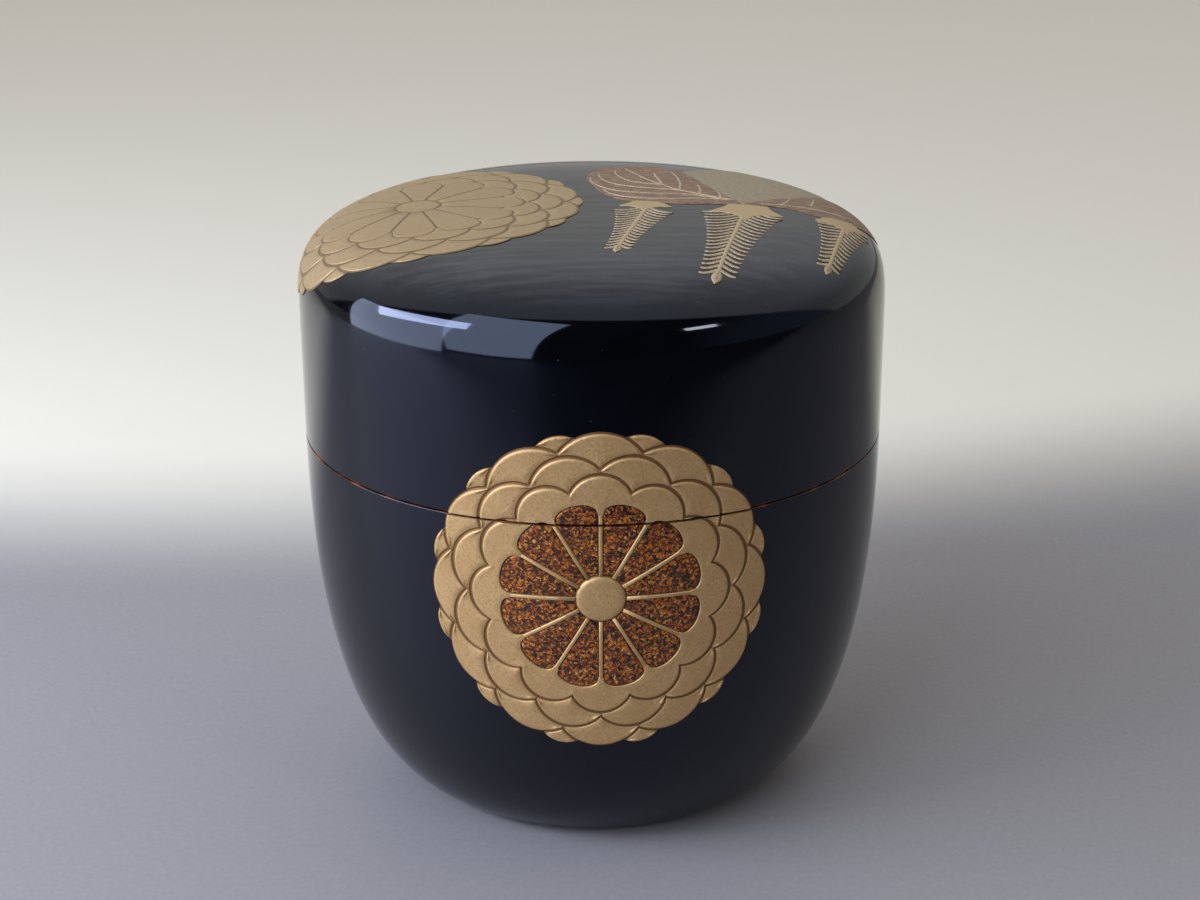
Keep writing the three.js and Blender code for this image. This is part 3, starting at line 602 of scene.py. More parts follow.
def lid_flower_rings():
    """Rings from the eye over the inner petals, between dark lines, and out over the layers."""
    tip = petal_tip(across_petal(), *INNER_TIP)
    start = EYE + 0.22 * MM
    petal = side_heights(LINE_HEIGHTS, LINE_HEIGHTS[-1])
    low = 0.14 * MM * FLAT
    edge = petal_edge(EVEN, *LID_TIPS[0])
    rings = [(EYE * out * FLAT, rise * MM * FLAT, 1) for out, rise in LID_EYE_ROWS]
    rings.append((start * FLAT, low, 1))
    inner, outer = start + 0.06 * MM, tip - 0.06 * MM
    rings += [(inner + (outer - inner) * part, petal, 1) for part in PETAL_PARTS]
    rings += [(tip, low, 1), (tip + 0.18 * MM, low, 1)]
    rings += band(tip + 0.22 * MM, edge, FLAT_ROWS, 1)
    return rings + outer_layers(edge + GROOVE, LID_TIPS[1:], FLAT_ROWS)


lid_flower = flower_mesh(
    "lid_chrysanthemum_gold", lid_flower_rings(), LINE_OFFSETS, on_lid, PETAL / 2, LID_CENTRE,
    "lid", LID_RELIEF
)
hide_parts("lid_chrysanthemum")

# %% [markdown]
# ## Paulownia leaves
#
# The leaves are thin plates with a smooth outline. A few points are enough for each, as shares of
# its length and width, and a Catmull-Rom line through them gives the curve. The left and right
# leaves lie over the middle one, so they stand a little higher.

# %% Lay the leaves on the lid
SPRAY = np.array([18.796, -1.129]) * MM
STEM_END = 0.3 * MM
LEAF_EDGE_DROP = 0.04 * MM


def smooth_line(points, count, closed=False):
    """Catmull-Rom line: between p1 and p2 it is half of 2 p1 + (p2 - p0) t
    + (2 p0 - 5 p1 + 4 p2 - p3) t^2 + (3 p1 - p0 - 3 p2 + p3) t^3."""
    points = np.array(points, float)
    if closed:
        points = np.concatenate([points[-1:], points, points[:2]])
    else:
        before, after = 2 * points[0] - points[1], 2 * points[-1] - points[-2]
        points = np.concatenate([[before], points, [after]])
    at = np.linspace(0, len(points) - 3, count, endpoint=not closed)
    part = np.minimum(at.astype(int), len(points) - 4)
    t = (at - part)[:, None]
    p0, p1, p2, p3 = (points[part + step] for step in range(4))
    curve = 2 * p1 + (p2 - p0) * t + (2 * p0 - 5 * p1 + 4 * p2 - p3) * t**2
    return (curve + (3 * p1 - p0 - 3 * p2 + p3) * t**3) / 2


def on_leaf(leaf, shares):
    """Shares of a leaf's length and width as points of the lid. With l the length's part and w
    the width's, x = l cos a - w sin a and y = l sin a + w cos a from the stem."""
    length, width, angle = leaf["length"] * MM, leaf["width"] * MM, np.radians(leaf["angle"])
    shares = np.array(shares)
    out, across = STEM_END + shares[:, 0] * length, shares[:, 1] * width
    turned_x = out * np.cos(angle) - across * np.sin(angle)
    turned_y = out * np.sin(angle) + across * np.cos(angle)
    return SPRAY + np.stack([turned_x, turned_y], -1)


LEAVES = {
    "left": {
        "length": 27, "width": 15, "angle": 129.2, "rise": 0.12, "outline": [
            (0, 0), (0.15, -0.09), (0.28, -0.17), (0.4, -0.25), (0.55, -0.36), (0.72, -0.44),
            (0.87, -0.4), (0.94, -0.22), (0.96, 0), (0.93, 0.18), (0.85, 0.38), (0.72, 0.52),
            (0.58, 0.64), (0.45, 0.68), (0.31, 0.62), (0.19, 0.44), (0.08, 0.2),
        ],
    },
    "centre": {
        "length": 23.5, "width": 22, "angle": 84.7, "rise": 0.08, "outline": [
            (0, 0), (0.12, -0.16), (0.3, -0.4), (0.5, -0.5), (0.66, -0.43), (0.8, -0.3),
            (0.92, -0.13), (1, 0), (0.92, 0.13), (0.8, 0.3), (0.66, 0.43), (0.5, 0.5),
            (0.3, 0.4), (0.12, 0.16),
        ],
    },
    "right": {
        "length": 21, "width": 14, "angle": 15.7, "rise": 0.12, "outline": [
            (0, 0), (0.18, -0.1), (0.29, -0.22), (0.39, -0.35), (0.53, -0.39), (0.68, -0.4),
            (0.82, -0.35), (0.93, -0.2), (1, 0), (0.93, 0.22), (0.81, 0.38), (0.66, 0.43),
            (0.5, 0.34), (0.38, 0.23), (0.26, 0.19), (0.12, 0.1),
        ],
    },
}
LEAF_SHARES = np.concatenate([[0.99, 0.975], np.linspace(0.95, 0.05, 24), [0.001]])


def leaf_piece(side):
    """One leaf as a plate whose edge lies LEAF_EDGE_DROP below its crown."""
    leaf = LEAVES[side]
    outline = smooth_line(on_leaf(leaf, leaf["outline"]), 160, closed=True)
    middle = on_leaf(leaf, [(0.5, 0)])[0]
    crown = leaf["rise"] * MM
    rings = plate(outline, middle, on_lid, crown - LEAF_EDGE_DROP, crown, LEAF_SHARES)
    piece = mesh_object(f"leaf_{side}", *skins([rings]), "lid")
    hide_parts(f"paulownia_leaf_{side}")
    return piece


leaf_pieces = {side: leaf_piece(side) for side in LEAVES}

# %% [markdown]
# ## Veins
#
# The veins are lines of pale gold drawn over the leaf with a fine brush: full at the root and
# thin at the tip. A ribbon along a line does that: its section is a low round hump, and its width
# follows the stroke. All of a leaf's veins are one piece.

# %% Draw the veins
def ribbon(line, half, base, top, around=8):
    """Sections along a line: across = half cos a, and the height is base + (top - base)
    sqrt(sin a) on the upper side and base below."""
    ahead = np.gradient(line, axis=0)
    ahead /= np.hypot(ahead[:, 0], ahead[:, 1])[:, None]
    side = np.stack([-ahead[:, 1], ahead[:, 0]], -1)
    angle = 2 * np.pi * (np.arange(around) + 0.5) / around
    across = half[:, None] * np.cos(angle)
    spots = line[:, None] + side[:, None] * across[..., None]
    height = base + (top - base) * np.sqrt(np.maximum(np.sin(angle), 0))
    return on_lid(spots[..., 0], spots[..., 1], np.broadcast_to(height, across.shape))


def stroke(count, full, tip):
    """Half width along a stroke: full at the root, thinning to the tip as 1 - share^1.6, with
    both ends drawn to a point."""
    share = np.linspace(0, 1, count)
    ends = np.sqrt(np.clip(np.minimum(share, 1 - share) * count / 1.5, 0, 1))
    return (tip + (full - tip) * (1 - share**1.6)) * ends


VEINS = {
    "left": [
        [
            (0.06, -0.05), (0.15, 0.01), (0.26, 0.06), (0.39, 0.09), (0.49, 0.07), (0.6, 0.05),
            (0.7, 0), (0.89, -0.12),
        ],
        [(0.49, 0.07), (0.57, -0.02), (0.66, -0.12), (0.72, -0.2)],
        [(0.49, 0.07), (0.59, 0.17), (0.67, 0.19), (0.78, 0.13), (0.88, 0.01)],
        [
            (0.3, 0.07), (0.4, 0.14), (0.51, 0.27), (0.61, 0.35), (0.71, 0.36), (0.8, 0.3),
            (0.88, 0.2),
        ],
        [
            (0.1, 0), (0.28, 0.15), (0.39, 0.34), (0.53, 0.5), (0.65, 0.52), (0.76, 0.46),
            (0.84, 0.35),
        ],
        [(0.07, -0.03), (0.18, 0.16), (0.28, 0.4), (0.4, 0.57), (0.51, 0.62), (0.61, 0.57)],
        [(0.36, 0.09), (0.45, -0.07), (0.58, -0.24), (0.68, -0.34)],
        [(0.24, 0.05), (0.32, -0.08), (0.39, -0.17)],
        [(0.13, 0), (0.17, -0.06), (0.22, -0.12)],
    ],
    "right": [
        [(0.1, -0.02), (0.22, -0.05), (0.34, -0.1), (0.46, -0.16), (0.6, -0.22), (0.74, -0.25)],
        [(0.23, -0.04), (0.29, 0.06), (0.34, 0.17)],
        [(0.43, -0.02), (0.48, 0.12), (0.53, 0.27)],
    ],
}


VEIN_POINTS = 60
VEIN_HALF = 0.2 * MM, 0.1 * MM
VEIN_BASE, VEIN_TOP = 0.06 * MM, 0.17 * MM


def vein_piece(side):
    """All veins of one leaf, each a ribbon along its own line."""
    half = stroke(VEIN_POINTS, *VEIN_HALF)
    parts = []
    for shares in VEINS[side]:
        line = smooth_line(on_leaf(LEAVES[side], shares), VEIN_POINTS)
        parts.append(ribbon(line, half, VEIN_BASE, VEIN_TOP))
    piece = mesh_object(f"veins_{side}", *skins(parts), "lid")
    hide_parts(f"paulownia_veins_{side}")
    return piece


vein_pieces = [vein_piece(side) for side in VEINS]

# %% [markdown]
# ## Where the flower heads hang
#
# A paulownia flower head hangs from a cup: a stem with two rows of thin drooping florets and a
# bud at its end. Each head has its own top, lean, length and number of florets, in millimetres
# and degrees, and all three share one outline of a cup, as shares of half its width.

# %% Say where the three flower heads hang
HEADS = {
    "left": {
        "top": (7.25, -1.2), "lean": 13.6, "length": 21.4, "florets": 16, "reach": (3.9, 3.7),
        "drop": 2.2, "cup": (6.68, -2.3), "cup_half": 3.3, "cup_lean": 8.5, "size": 0.76,
    },
    "centre": {
        "top": (19.65, -1.5), "lean": 12.8, "length": 28.5, "florets": 19, "reach": (5.4, 4.9),
        "drop": 2.9, "cup": (18.97, -5.3), "cup_half": 4.65, "cup_lean": 8.5, "size": 1,
    },
    "right": {
        "top": (32.2, -2.3), "lean": 13.9, "length": 19.9, "florets": 14, "reach": (3.9, 3.5),
        "drop": 2.0, "cup": (31.2, -5.3), "cup_half": 3.7, "cup_lean": -4, "size": 0.76,
    },
}
CUP = [
    (-0.88, 0), (-0.87, 0.4), (-0.86, 0.52), (-0.83, 0.55), (-0.56, 0.62), (-0.2, 0.85),
    (-0.02, 0.98), (0, 1), (0.02, 0.97), (0.05, 0.8), (0.07, 0.53), (0.27, 0.22), (0.6, 0.08),
    (0.66, 0),
]


def hanging(start, lean, spots):
    """Places down from a start and out to the right of it, turned to a lean, on the lid."""
    lean = np.radians(lean)
    down = np.array([-np.sin(lean), -np.cos(lean)])
    out = np.array([np.cos(lean), -np.sin(lean)])
    spots = np.array(spots)
    return (np.array(start) + spots[:, :1] * down + spots[:, 1:] * out) * MM


print("florets", {side: 2 * head["florets"] for side, head in HEADS.items()})

# %% [markdown]
# ## The florets' lines
#
# Each floret is one stroke of the brush, so it needs a line before it needs a width. The lines of
# a head are one line again and again, with a reach and a drop that shrink down the stem, so two
# formulas draw them all.

# %% Draw the florets' lines
FLORET_SHARES = np.array([(0, 0), (0.55, 0.3), (0.95, 0.65), (1, 1)])
FLORET_POINTS = 14


def floret_lines(head):
    """Each floret droops from the stem and levels out. With s the place down the stem, it
    reaches 1 - 1.15 s + 0.57 s^2 of the full reach on the left, and 1 - 0.95 s + 0.4 s^2 on the
    right, and it drops 1 - 0.45 s or 1 - 0.65 s of the full drop."""
    first, last = 1.6 * head["size"] ** 0.5, head["length"] - 3.5 * head["size"]
    left, right = head["reach"]
    lines = {-1: [], 1: []}
    for s in np.linspace(0, 1, head["florets"]):
        root = first + (last - first) * s
        for side, reach, drop in (
            (-1, left * (1 - 1.15 * s + 0.57 * s * s), head["drop"] * (1 - 0.45 * s)),
            (1, right * (1 - 0.95 * s + 0.4 * s * s), head["drop"] * (1 - 0.65 * s)),
        ):
            spots = np.array([root, 0]) + FLORET_SHARES * (drop, side * reach)
            line = smooth_line(hanging(head["top"], head["lean"], spots), FLORET_POINTS)
            lines[side].append(line)
    return lines


lowest = floret_lines(HEADS["centre"])[1][-1]
print("the centre head's lowest right floret, mm", (lowest[[0, -1]] / MM).round(2).tolist())

# %% [markdown]
# ## Strokes, film and cup
#
# The strokes lie on a film of brown lacquer, which shows dark between them, and the cup is a
# small plate of yellower gold. All parts of a head are one piece. Two numbers kept for each point
# say how brown and how yellow the piece is there, and the material reads them.

# %% Lay the three flower heads
FLORET_HALF = 0.29 * MM, 0.2 * MM
FLORET_TOP = 0.07 * MM
FILM_SHARE = 0.97
FILM_EDGE, FILM_CROWN = 0.015 * MM, 0.03 * MM
STEM_HALF = 0.34, 0.24
STEM_POINTS, STEM_TOP = 60, 0.11 * MM
BUD_HALF, BUD_TIP = 0.68, 0.02
BUD_POINTS, BUD_TOP = 24, 0.13 * MM
HEART, HEART_SHARE, HEART_TOP = slice(4, -4), 0.6, 0.15 * MM
CUP_EDGE, CUP_CROWN = 0.07 * MM, 0.1 * MM


def down_stem(head, first, last, count):
    """Points down the middle of a head, from first to last millimetres below its top."""
    downs = np.linspace(first, last, count)
    return hanging(head["top"], head["lean"], np.stack([downs, 0 * downs], -1))


def floret_parts(lines):
    """A low ribbon for each floret's line."""
    half = stroke(FLORET_POINTS, *FLORET_HALF)
    return [(ribbon(line, half, SUNK, FLORET_TOP), 0, 0) for line in lines[-1] + lines[1]]


def film_part(head, lines):
    """A thin plate through the ends of the florets, drawn in a little towards its middle."""
    ends = np.array([line[-2] for line in lines[-1] + lines[1][::-1]])
    middle = hanging(head["top"], head["lean"], [(0.45 * head["length"], 0)])[0]
    outline = smooth_line(middle + FILM_SHARE * (ends - middle), 160, closed=True)
    return plate(outline, middle, on_lid, FILM_EDGE, FILM_CROWN, LEAF_SHARES), 1, 0


def stem_parts(head):
    """The stem, the bud and the bud's heart. The bud's half width is BUD_HALF sin(pi s^1.15),
    with s from 0 to 1 along it, times the head's size."""
    size, length = head["size"], head["length"]
    stem = down_stem(head, 3 * size, length - 2.9 * size, STEM_POINTS)
    bud = down_stem(head, length - 3.4 * size, length, BUD_POINTS)
    bulge = np.sin(np.pi * np.linspace(0, 1, BUD_POINTS) ** 1.15)
    almond = np.maximum(BUD_HALF * size * bulge, BUD_TIP) * MM
    return [
        (ribbon(stem, np.linspace(*STEM_HALF, STEM_POINTS) * MM, SUNK, STEM_TOP), 0, 0.7),
        (ribbon(bud, almond, SUNK, BUD_TOP), 0, 0.6),
        (ribbon(bud[HEART], almond[HEART] * HEART_SHARE, SUNK, HEART_TOP), 0.3, 0),
    ]


def cup_part(head):
    """The cup's right half and its mirror image, as one closed outline of a plate."""
    right = np.array(CUP)
    corners = np.concatenate([right, right[-2:0:-1] * (1, -1)]) * head["cup_half"]
    outline = smooth_line(hanging(head["cup"], head["cup_lean"], corners), 96, closed=True)
    middle = hanging(head["cup"], head["cup_lean"], [(-0.25 * head["cup_half"], 0)])[0]
    return plate(outline, middle, on_lid, CUP_EDGE, CUP_CROWN, LEAF_SHARES[::2]), 0, 1


def head_piece(side):
    """A whole flower head. A skin of n rings of m points has (n - 2) m + 2 of its own."""
    head = HEADS[side]
    lines = floret_lines(head)
    parts = [*floret_parts(lines), film_part(head, lines), *stem_parts(head), cup_part(head)]
    counts = [(len(rings) - 2) * rings.shape[1] + 2 for rings, _, _ in parts]
    tints = {
        "film": np.repeat([brown for _, brown, _ in parts], counts),
        "yellow": np.repeat([yellow for _, _, yellow in parts], counts),
    }
    piece = mesh_object(
        f"flower_head_{side}", *skins([rings for rings, _, _ in parts]), "lid", tints
    )
    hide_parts(f"paulownia_flowers_{side}")
    return piece


head_pieces = [head_piece(side) for side in HEADS]

# %% [markdown]
# ## Materials
#
# A material is a small graph of nodes. One function adds a node of any kind, sets it, links it
# and gives back one of its outputs, and another turns the hex colours that people write into the
# linear ones that Blender computes with. Patterns read Object coordinates, which are metres here,
# so a pattern's scale is one over a real size.

# %% Add nodes and turn colours to linear
def linear(colour):
    """sRGB hex to linear: c / 12.92 below 0.04045, else ((c + 0.055) / 1.055)^2.4."""
    c = np.array([int(colour[at:at + 2], 16) for at in (1, 3, 5)]) / 255
    return (*np.where(c <= 0.04045, c / 12.92, ((c + 0.055) / 1.055) ** 2.4), 1.0)


def add(tree, kind, inputs=(), out="", stops=(), **settings):
    """A new node with its settings and links. Gives back its output of the identifier, or its
    first. Inputs are named by identifier, or stand in a tuple in their order, and each is a
    number, a hex colour or another node's output. Stops are a ramp's places and colours."""
    node = tree.nodes.new("ShaderNode" + kind)
    for name, value in settings.items():
        setattr(node, name, value)
    if stops:
        elements = node.color_ramp.elements
        for _ in stops[2:]:
            elements.new(0.5)
        for element, (place, colour) in zip(elements, stops):
            element.position, element.color = place, linear(colour)
    sockets = {socket.identifier: socket for socket in node.inputs}
    named = inputs if isinstance(inputs, dict) else dict(zip(sockets, inputs))
    for name, value in named.items():
        if isinstance(value, bpy.types.NodeSocket):
            tree.links.new(value, sockets[name])
        else:
            sockets[name].default_value = linear(value) if isinstance(value, str) else value
    return next((socket for socket in node.outputs if out in ("", socket.identifier)), None)


print("linear of #B39B74", [round(float(c), 3) for c in linear("#B39B74")])

# %% [markdown]
# ## Coats
#
# Most finishes here are built the way the real one is: a ground, and then thin coats that lie only
# in places, such as a worn edge, a groove or the gaps between chips. Some coats are painted shade
# instead: the front flower's grooves and the dark floor far in front. So one helper starts a
# material and the other lays a whole coat: where it lies, and its colour over the ground.

# %% Start a material and lay a coat
SOFT_NOISE = {"Detail": 3, "Roughness": 0.55}
FINE_NOISE = {"Detail": 4, "Roughness": 0.7}
SMOOTH = {"interpolation_type": "SMOOTHSTEP"}


def start_material(name):
    """A new material with an empty tree, and its Object coordinates in metres."""
    material = bpy.data.materials.new(name)
    material.use_nodes = True
    tree = material.node_tree
    tree.nodes.clear()
    return material, tree, add(tree, "TexCoord", out="Object")


def coat(tree, ground, colour, *limits):
    """Colour over ground: ground (1 - share) + colour share. Each limit is a number, its low and
    high, and the two ends they are laid on smoothly, 0 and 1 if none are given. The share is the
    product of all of them."""
    share = 1
    for limit in limits:
        part = add(tree, "MapRange", limit, **SMOOTH)
        share = add(tree, "Math", (share, part), operation="MULTIPLY")
    mix = {"Factor_Float": share, "A_Color": ground, "B_Color": colour}
    return add(tree, "Mix", mix, "Result_Color", data_type="RGBA")


print("noise for clouds", SOFT_NOISE, "and for powder", FINE_NOISE)

# %% [markdown]
# ## Roiro black lacquer
#
# Many thin coats of black lacquer are ground flat with charcoal and polished with powder until
# they mirror. So the surface is nearly black and very smooth, with faint wiping marks, a little
# haze on the top and a few specks of dust. Its mirror is tinted slightly blue, a painted tint of
# the reflections for the bluish light round it, which makes the black look deep. At the seam the
# coat is thinner on the edge, and the undercoat shows brown in patches.

# %% Lay the worn edge and the haze
WEAR_REACH, WEAR_CORE = 0.14 * MM, 0.04 * MM
OUTSIDE = 36 * MM, 36.5 * MM
HAZE_HEIGHTS = DOME_BASE + 11 * MM, DOME_BASE + 14.5 * MM


def worn_edge(tree, place, height, ground):
    """Brown between two heights at the seam, outside the collar, in patches 4 mm across. The
    radius is the length of (x, y, 0)."""
    level = add(tree, "VectorMath", (place, (1, 1, 0)), operation="MULTIPLY")
    radius = add(tree, "VectorMath", (level,), "Value", operation="LENGTH")
    patches = add(tree, "TexNoise", {"Vector": place, "Scale": 1 / (4 * MM), **SOFT_NOISE})
    return coat(
        tree,
        ground,
        "#8A4A28",
        (height, SEAM - WEAR_REACH, SEAM - WEAR_CORE),
        (height, LID_BASE + WEAR_CORE, LID_BASE + WEAR_REACH, 1, 0),
        (patches, 0.45, 0.65, 0.12, 1),
        (radius, *OUTSIDE),
    )


def top_haze(tree, place, height, ground):
    """Smudges 1.3 mm wide, drawn out along X, on the flat of the top only."""
    drawn = add(tree, "Mapping", {"Vector": place, "Scale": (0.12, 1, 1)})
    smudge = {"Vector": drawn, "Scale": 1 / (1.3 * MM), "Detail": 4, "Roughness": 0.6}
    smudged = add(tree, "TexNoise", smudge)
    return coat(tree, ground, "#2B2C2E", (smudged, 0.38, 0.7), (height, *HAZE_HEIGHTS))


print("haze from mm", [round(height / MM, 2) for height in HAZE_HEIGHTS])

# %% [markdown]
# ## The lacquer's coats
#
# Urushi has an index of refraction of about 1.52. The black varies slowly over 9 mm, dust lies
# 2.4 mm apart, wiping marks are 14 mm lumps pressed flat in height, and the polished surface
# waves by 6 thousandths of a millimetre over 7 mm, which bends the mirrored edges a little.

# %% Make the polished lacquer
def roiro_lacquer():
    """Black, then the worn edge, the haze and the dust, under one polished surface."""
    material, tree, place = start_material("roiro_lacquer_polished")
    height = add(tree, "SeparateXYZ", {"Vector": place}, "Z")
    cloud = add(tree, "TexNoise", {"Vector": place, "Scale": 1 / (9 * MM), **SOFT_NOISE})
    black = add(tree, "ValToRGB", {"Fac": cloud}, stops=[(0.3, "#040405"), (0.7, "#07070A")])
    speck = add(tree, "TexVoronoi", {"Vector": place, "Scale": 1 / (2.4 * MM)})
    colour = top_haze(tree, place, height, worn_edge(tree, place, height, black))
    colour = coat(tree, colour, "#3A3C40", (speck, 0.02, 0.045, 1, 0))
    wiped = add(tree, "Mapping", {"Vector": place, "Scale": (1, 1, 6)})
    marks = {"Vector": wiped, "Scale": 1 / (14 * MM), "Detail": 5, "Roughness": 0.55}
    smear = add(tree, "TexNoise", marks)
    gloss = add(tree, "MapRange", (smear, 0.3, 0.75, 0.045, 0.085), **SMOOTH)
    swell = {"Vector": place, "Scale": 1 / (7 * MM), "Detail": 1, "Roughness": 0.55}
    waves = add(tree, "Bump", {"Height": add(tree, "TexNoise", swell), "Distance": 0.006 * MM})
    # Painted reflection colour: Specular Tint makes every reflection slightly blue, for the bluish
    # light round the caddy.
    mirror = {"IOR": 1.52, "Specular Tint": "#D0D8F2", "Roughness": gloss, "Normal": waves}
    surface = add(tree, "BsdfPrincipled", {"Base Color": colour, **mirror})
    add(tree, "OutputMaterial", {"Surface": surface})
    return material


lacquer = roiro_lacquer()
for piece in (body_piece, lid_piece):
    piece.data.materials.append(lacquer)
print("lacquered", body_piece.name, lid_piece.name)

# %% [markdown]
# ## Raised gold
#
# Gold powder is sprinkled on wet lacquer, sealed and rubbed, so it isn't a mirror but a soft
# metal with fine grains and pin pricks, half metal and half the lacquer round the grains. Low
# places
# turn dark brown: on the lid they are the maker's drawn lines, on the front flower painted shade
# in the grooves. The groove's depth comes from the mesh, so the dark line follows the shape. Real
# grains are under a tenth of a millimetre, too fine to show, so these are 0.28 mm.

# %% Make the gold of the two flowers
def raised_gold(name, low, high, dark_line_shade_and_prick_colour, grain_depth):
    """Powder from a low to a high colour, clouded, pricked and darker in the grooves, where the
    dark is painted shade on the front flower and the drawn lines on the lid.
    """
    material, tree, place = start_material(name)
    grain = add(tree, "TexNoise", {"Vector": place, "Scale": 1 / (0.28 * MM), **FINE_NOISE})
    cloud = add(tree, "TexNoise", {"Vector": place, "Scale": 1 / (5 * MM), **SOFT_NOISE})
    powder = add(tree, "ValToRGB", {"Fac": grain}, stops=[(0.32, low), (0.68, high)])
    prick = add(tree, "TexVoronoi", {"Vector": place, "Scale": 1 / (0.75 * MM)})
    groove = add(tree, "Attribute", out="Fac", attribute_name="groove")
    colour = coat(tree, powder, low, (cloud, 0.35, 0.7, 0, 0.35))
    colour = coat(tree, colour, dark_line_shade_and_prick_colour, (prick, 0.06, 0.13, 0.75, 0))
    # Low places get the dark colour: painted shade in the front flower's grooves, drawn lines on
    # the lid flower.
    colour = coat(tree, colour, dark_line_shade_and_prick_colour, (groove, 0.15, 0.9, 0, 0.85))
    gloss = add(tree, "MapRange", (grain, 0.3, 0.7, 0.42, 0.56), **SMOOTH)
    rough = add(tree, "Bump", {"Height": grain, "Distance": grain_depth})
    metal = {"Metallic": 0.5, "Roughness": gloss, "Normal": rough}
    surface = add(tree, "BsdfPrincipled", {"Base Color": colour, **metal})
    add(tree, "OutputMaterial", {"Surface": surface})
    return material


# The front flower's dark groove colour is painted shade.
front_metal = raised_gold("gold_powder_takamakie", "#B58C58", "#D2AD79", "#684524", 0.02 * MM)
lid_metal = raised_gold("gold_powder_hiramakie", "#9F8660", "#B59B74", "#746042", 0.012 * MM)
for piece in (gold_below, gold_above):
    piece.data.materials.append(front_metal)
lid_flower.data.materials.append(lid_metal)
print("gilded", gold_below.name, gold_above.name, lid_flower.name)

# %% [markdown]
# ## Nashiji flakes
#
# Nashiji means pear skin: chips of gold foil lie at all angles in clear reddish lacquer. Each
# chip is one cell of a Voronoi pattern about 0.3 mm across, bent by noise of 0.85 mm so that it
# isn't a neat polygon, with a colour of its own from nearly black through orange to pale gold.

# %% Make the flaked lacquer
CHIPS = [
    (0.0, "#1C0D06"), (0.14, "#4A210B"), (0.32, "#853E12"), (0.5, "#A9541A"), (0.66, "#C26E24"),
    (0.84, "#CE8432"), (0.96, "#DCA352"),
]
CHIP, BEND, BEND_REACH = 0.29 * MM, 0.85 * MM, 1.35 * MM


def nashiji():
    """A chip is the nearest cell to place + BEND_REACH noise, and its chance picks its colour."""
    material, tree, place = start_material("nashiji_flakes_in_clear_lacquer")
    bend = add(tree, "TexNoise", {"Vector": place, "Scale": 1 / BEND}, "Color")
    moved = add(tree, "VectorMath", (bend, (BEND_REACH,) * 3), operation="MULTIPLY")
    bent = add(tree, "VectorMath", (place, moved), operation="ADD")
    cell = add(tree, "TexVoronoi", {"Vector": bent, "Scale": 1 / CHIP})
    chance = add(tree, "SeparateColor", {"Color": cell.node.outputs["Color"]})
    chip = add(tree, "ValToRGB", {"Fac": chance}, stops=CHIPS)
    chip.node.color_ramp.interpolation = "CONSTANT"
    colour = coat(tree, chip, "#1C0F08", (cell, 0.45, 0.65, 0, 0.8))
    tilt = {"Height": chance.node.outputs["Green"], "Distance": 0.03 * MM}
    shine = add(tree, "MapRange", (chance, 0.3, 0.9, 0, 0.4), **SMOOTH)
    foil = {"Metallic": shine, "Roughness": 0.34, "Normal": add(tree, "Bump", tilt)}
    clear = {"Coat Weight": 0.06, "Coat Roughness": 0.12}
    surface = add(tree, "BsdfPrincipled", {"Base Color": colour, **foil, **clear})
    add(tree, "OutputMaterial", {"Surface": surface})
    return material


flakes = nashiji()
for piece in flaked:
    piece.data.materials.append(flakes)
print("flaked", len(flaked))

# %% [markdown]
# ## Leaves and lines
#
# The leaves are sprinkled more thinly, so red-brown lacquer shows between the grains, and fine
# hatching gives them a nap. The middle leaf is plain aged gold. Veins and flower heads are drawn
# lines of paler gold, fine-grained and flat. The grains are drawn coarser than real ones here
# too, so that they show.

# %% Make the leaf and line finishes
def sprinkled(name, low, high, dark, size, metal, stretch=(1, 1, 1)):
    """Powder from a low to a high colour over dark hatching. The mesh's own two numbers, yellow
    and film, are shares as they are."""
    material, tree, place = start_material(name)
    grain = add(tree, "TexNoise", {"Vector": place, "Scale": 1 / size, **FINE_NOISE})
    drawn = add(tree, "Mapping", {"Vector": place, "Scale": stretch})
    nap = {"Vector": drawn, "Scale": 1 / (size * 1.6), "Detail": 2, "Roughness": 0.55}
    powder = add(tree, "ValToRGB", {"Fac": grain}, stops=[(0.33, low), (0.67, high)])
    colour = coat(tree, powder, dark, (add(tree, "TexNoise", nap), 0.42, 0.6, 0.55, 0))
    for attribute, tint in (("yellow", "#B79E73"), ("film", "#36291E")):
        share = add(tree, "Attribute", out="Fac", attribute_name=attribute)
        mix = {"Factor_Float": share, "A_Color": colour, "B_Color": tint}
        colour = add(tree, "Mix", mix, "Result_Color", data_type="RGBA")
    gloss = add(tree, "MapRange", (grain, 0.3, 0.7, 0.42, 0.6), **SMOOTH)
    rough = add(tree, "Bump", {"Height": grain, "Distance": 0.012 * MM})
    look = {"Metallic": metal, "Roughness": gloss, "Normal": rough}
    surface = add(tree, "BsdfPrincipled", {"Base Color": colour, **look})
    add(tree, "OutputMaterial", {"Surface": surface})
    return material


HATCH = (0.35, 1, 1)
bronze = sprinkled(
    "red_bronze_powder_on_lacquer", "#7B604A", "#A68668", "#5A4030", 0.3 * MM, 0.35, HATCH
)
aged = sprinkled("aged_gold_powder", "#97886C", "#A5967B", "#897A60", 0.35 * MM, 0.4)
line_gold = sprinkled("pale_gold_drawn_line", "#B09C7E", "#CCBA9A", "#937F62", 0.25 * MM, 0.45)
for side, piece in leaf_pieces.items():
    plain = side == "centre"
    piece.data.materials.append(aged if plain else bronze)
for piece in vein_pieces + head_pieces:
    piece.data.materials.append(line_gold)
print("materials", [material.name for material in bpy.data.materials])

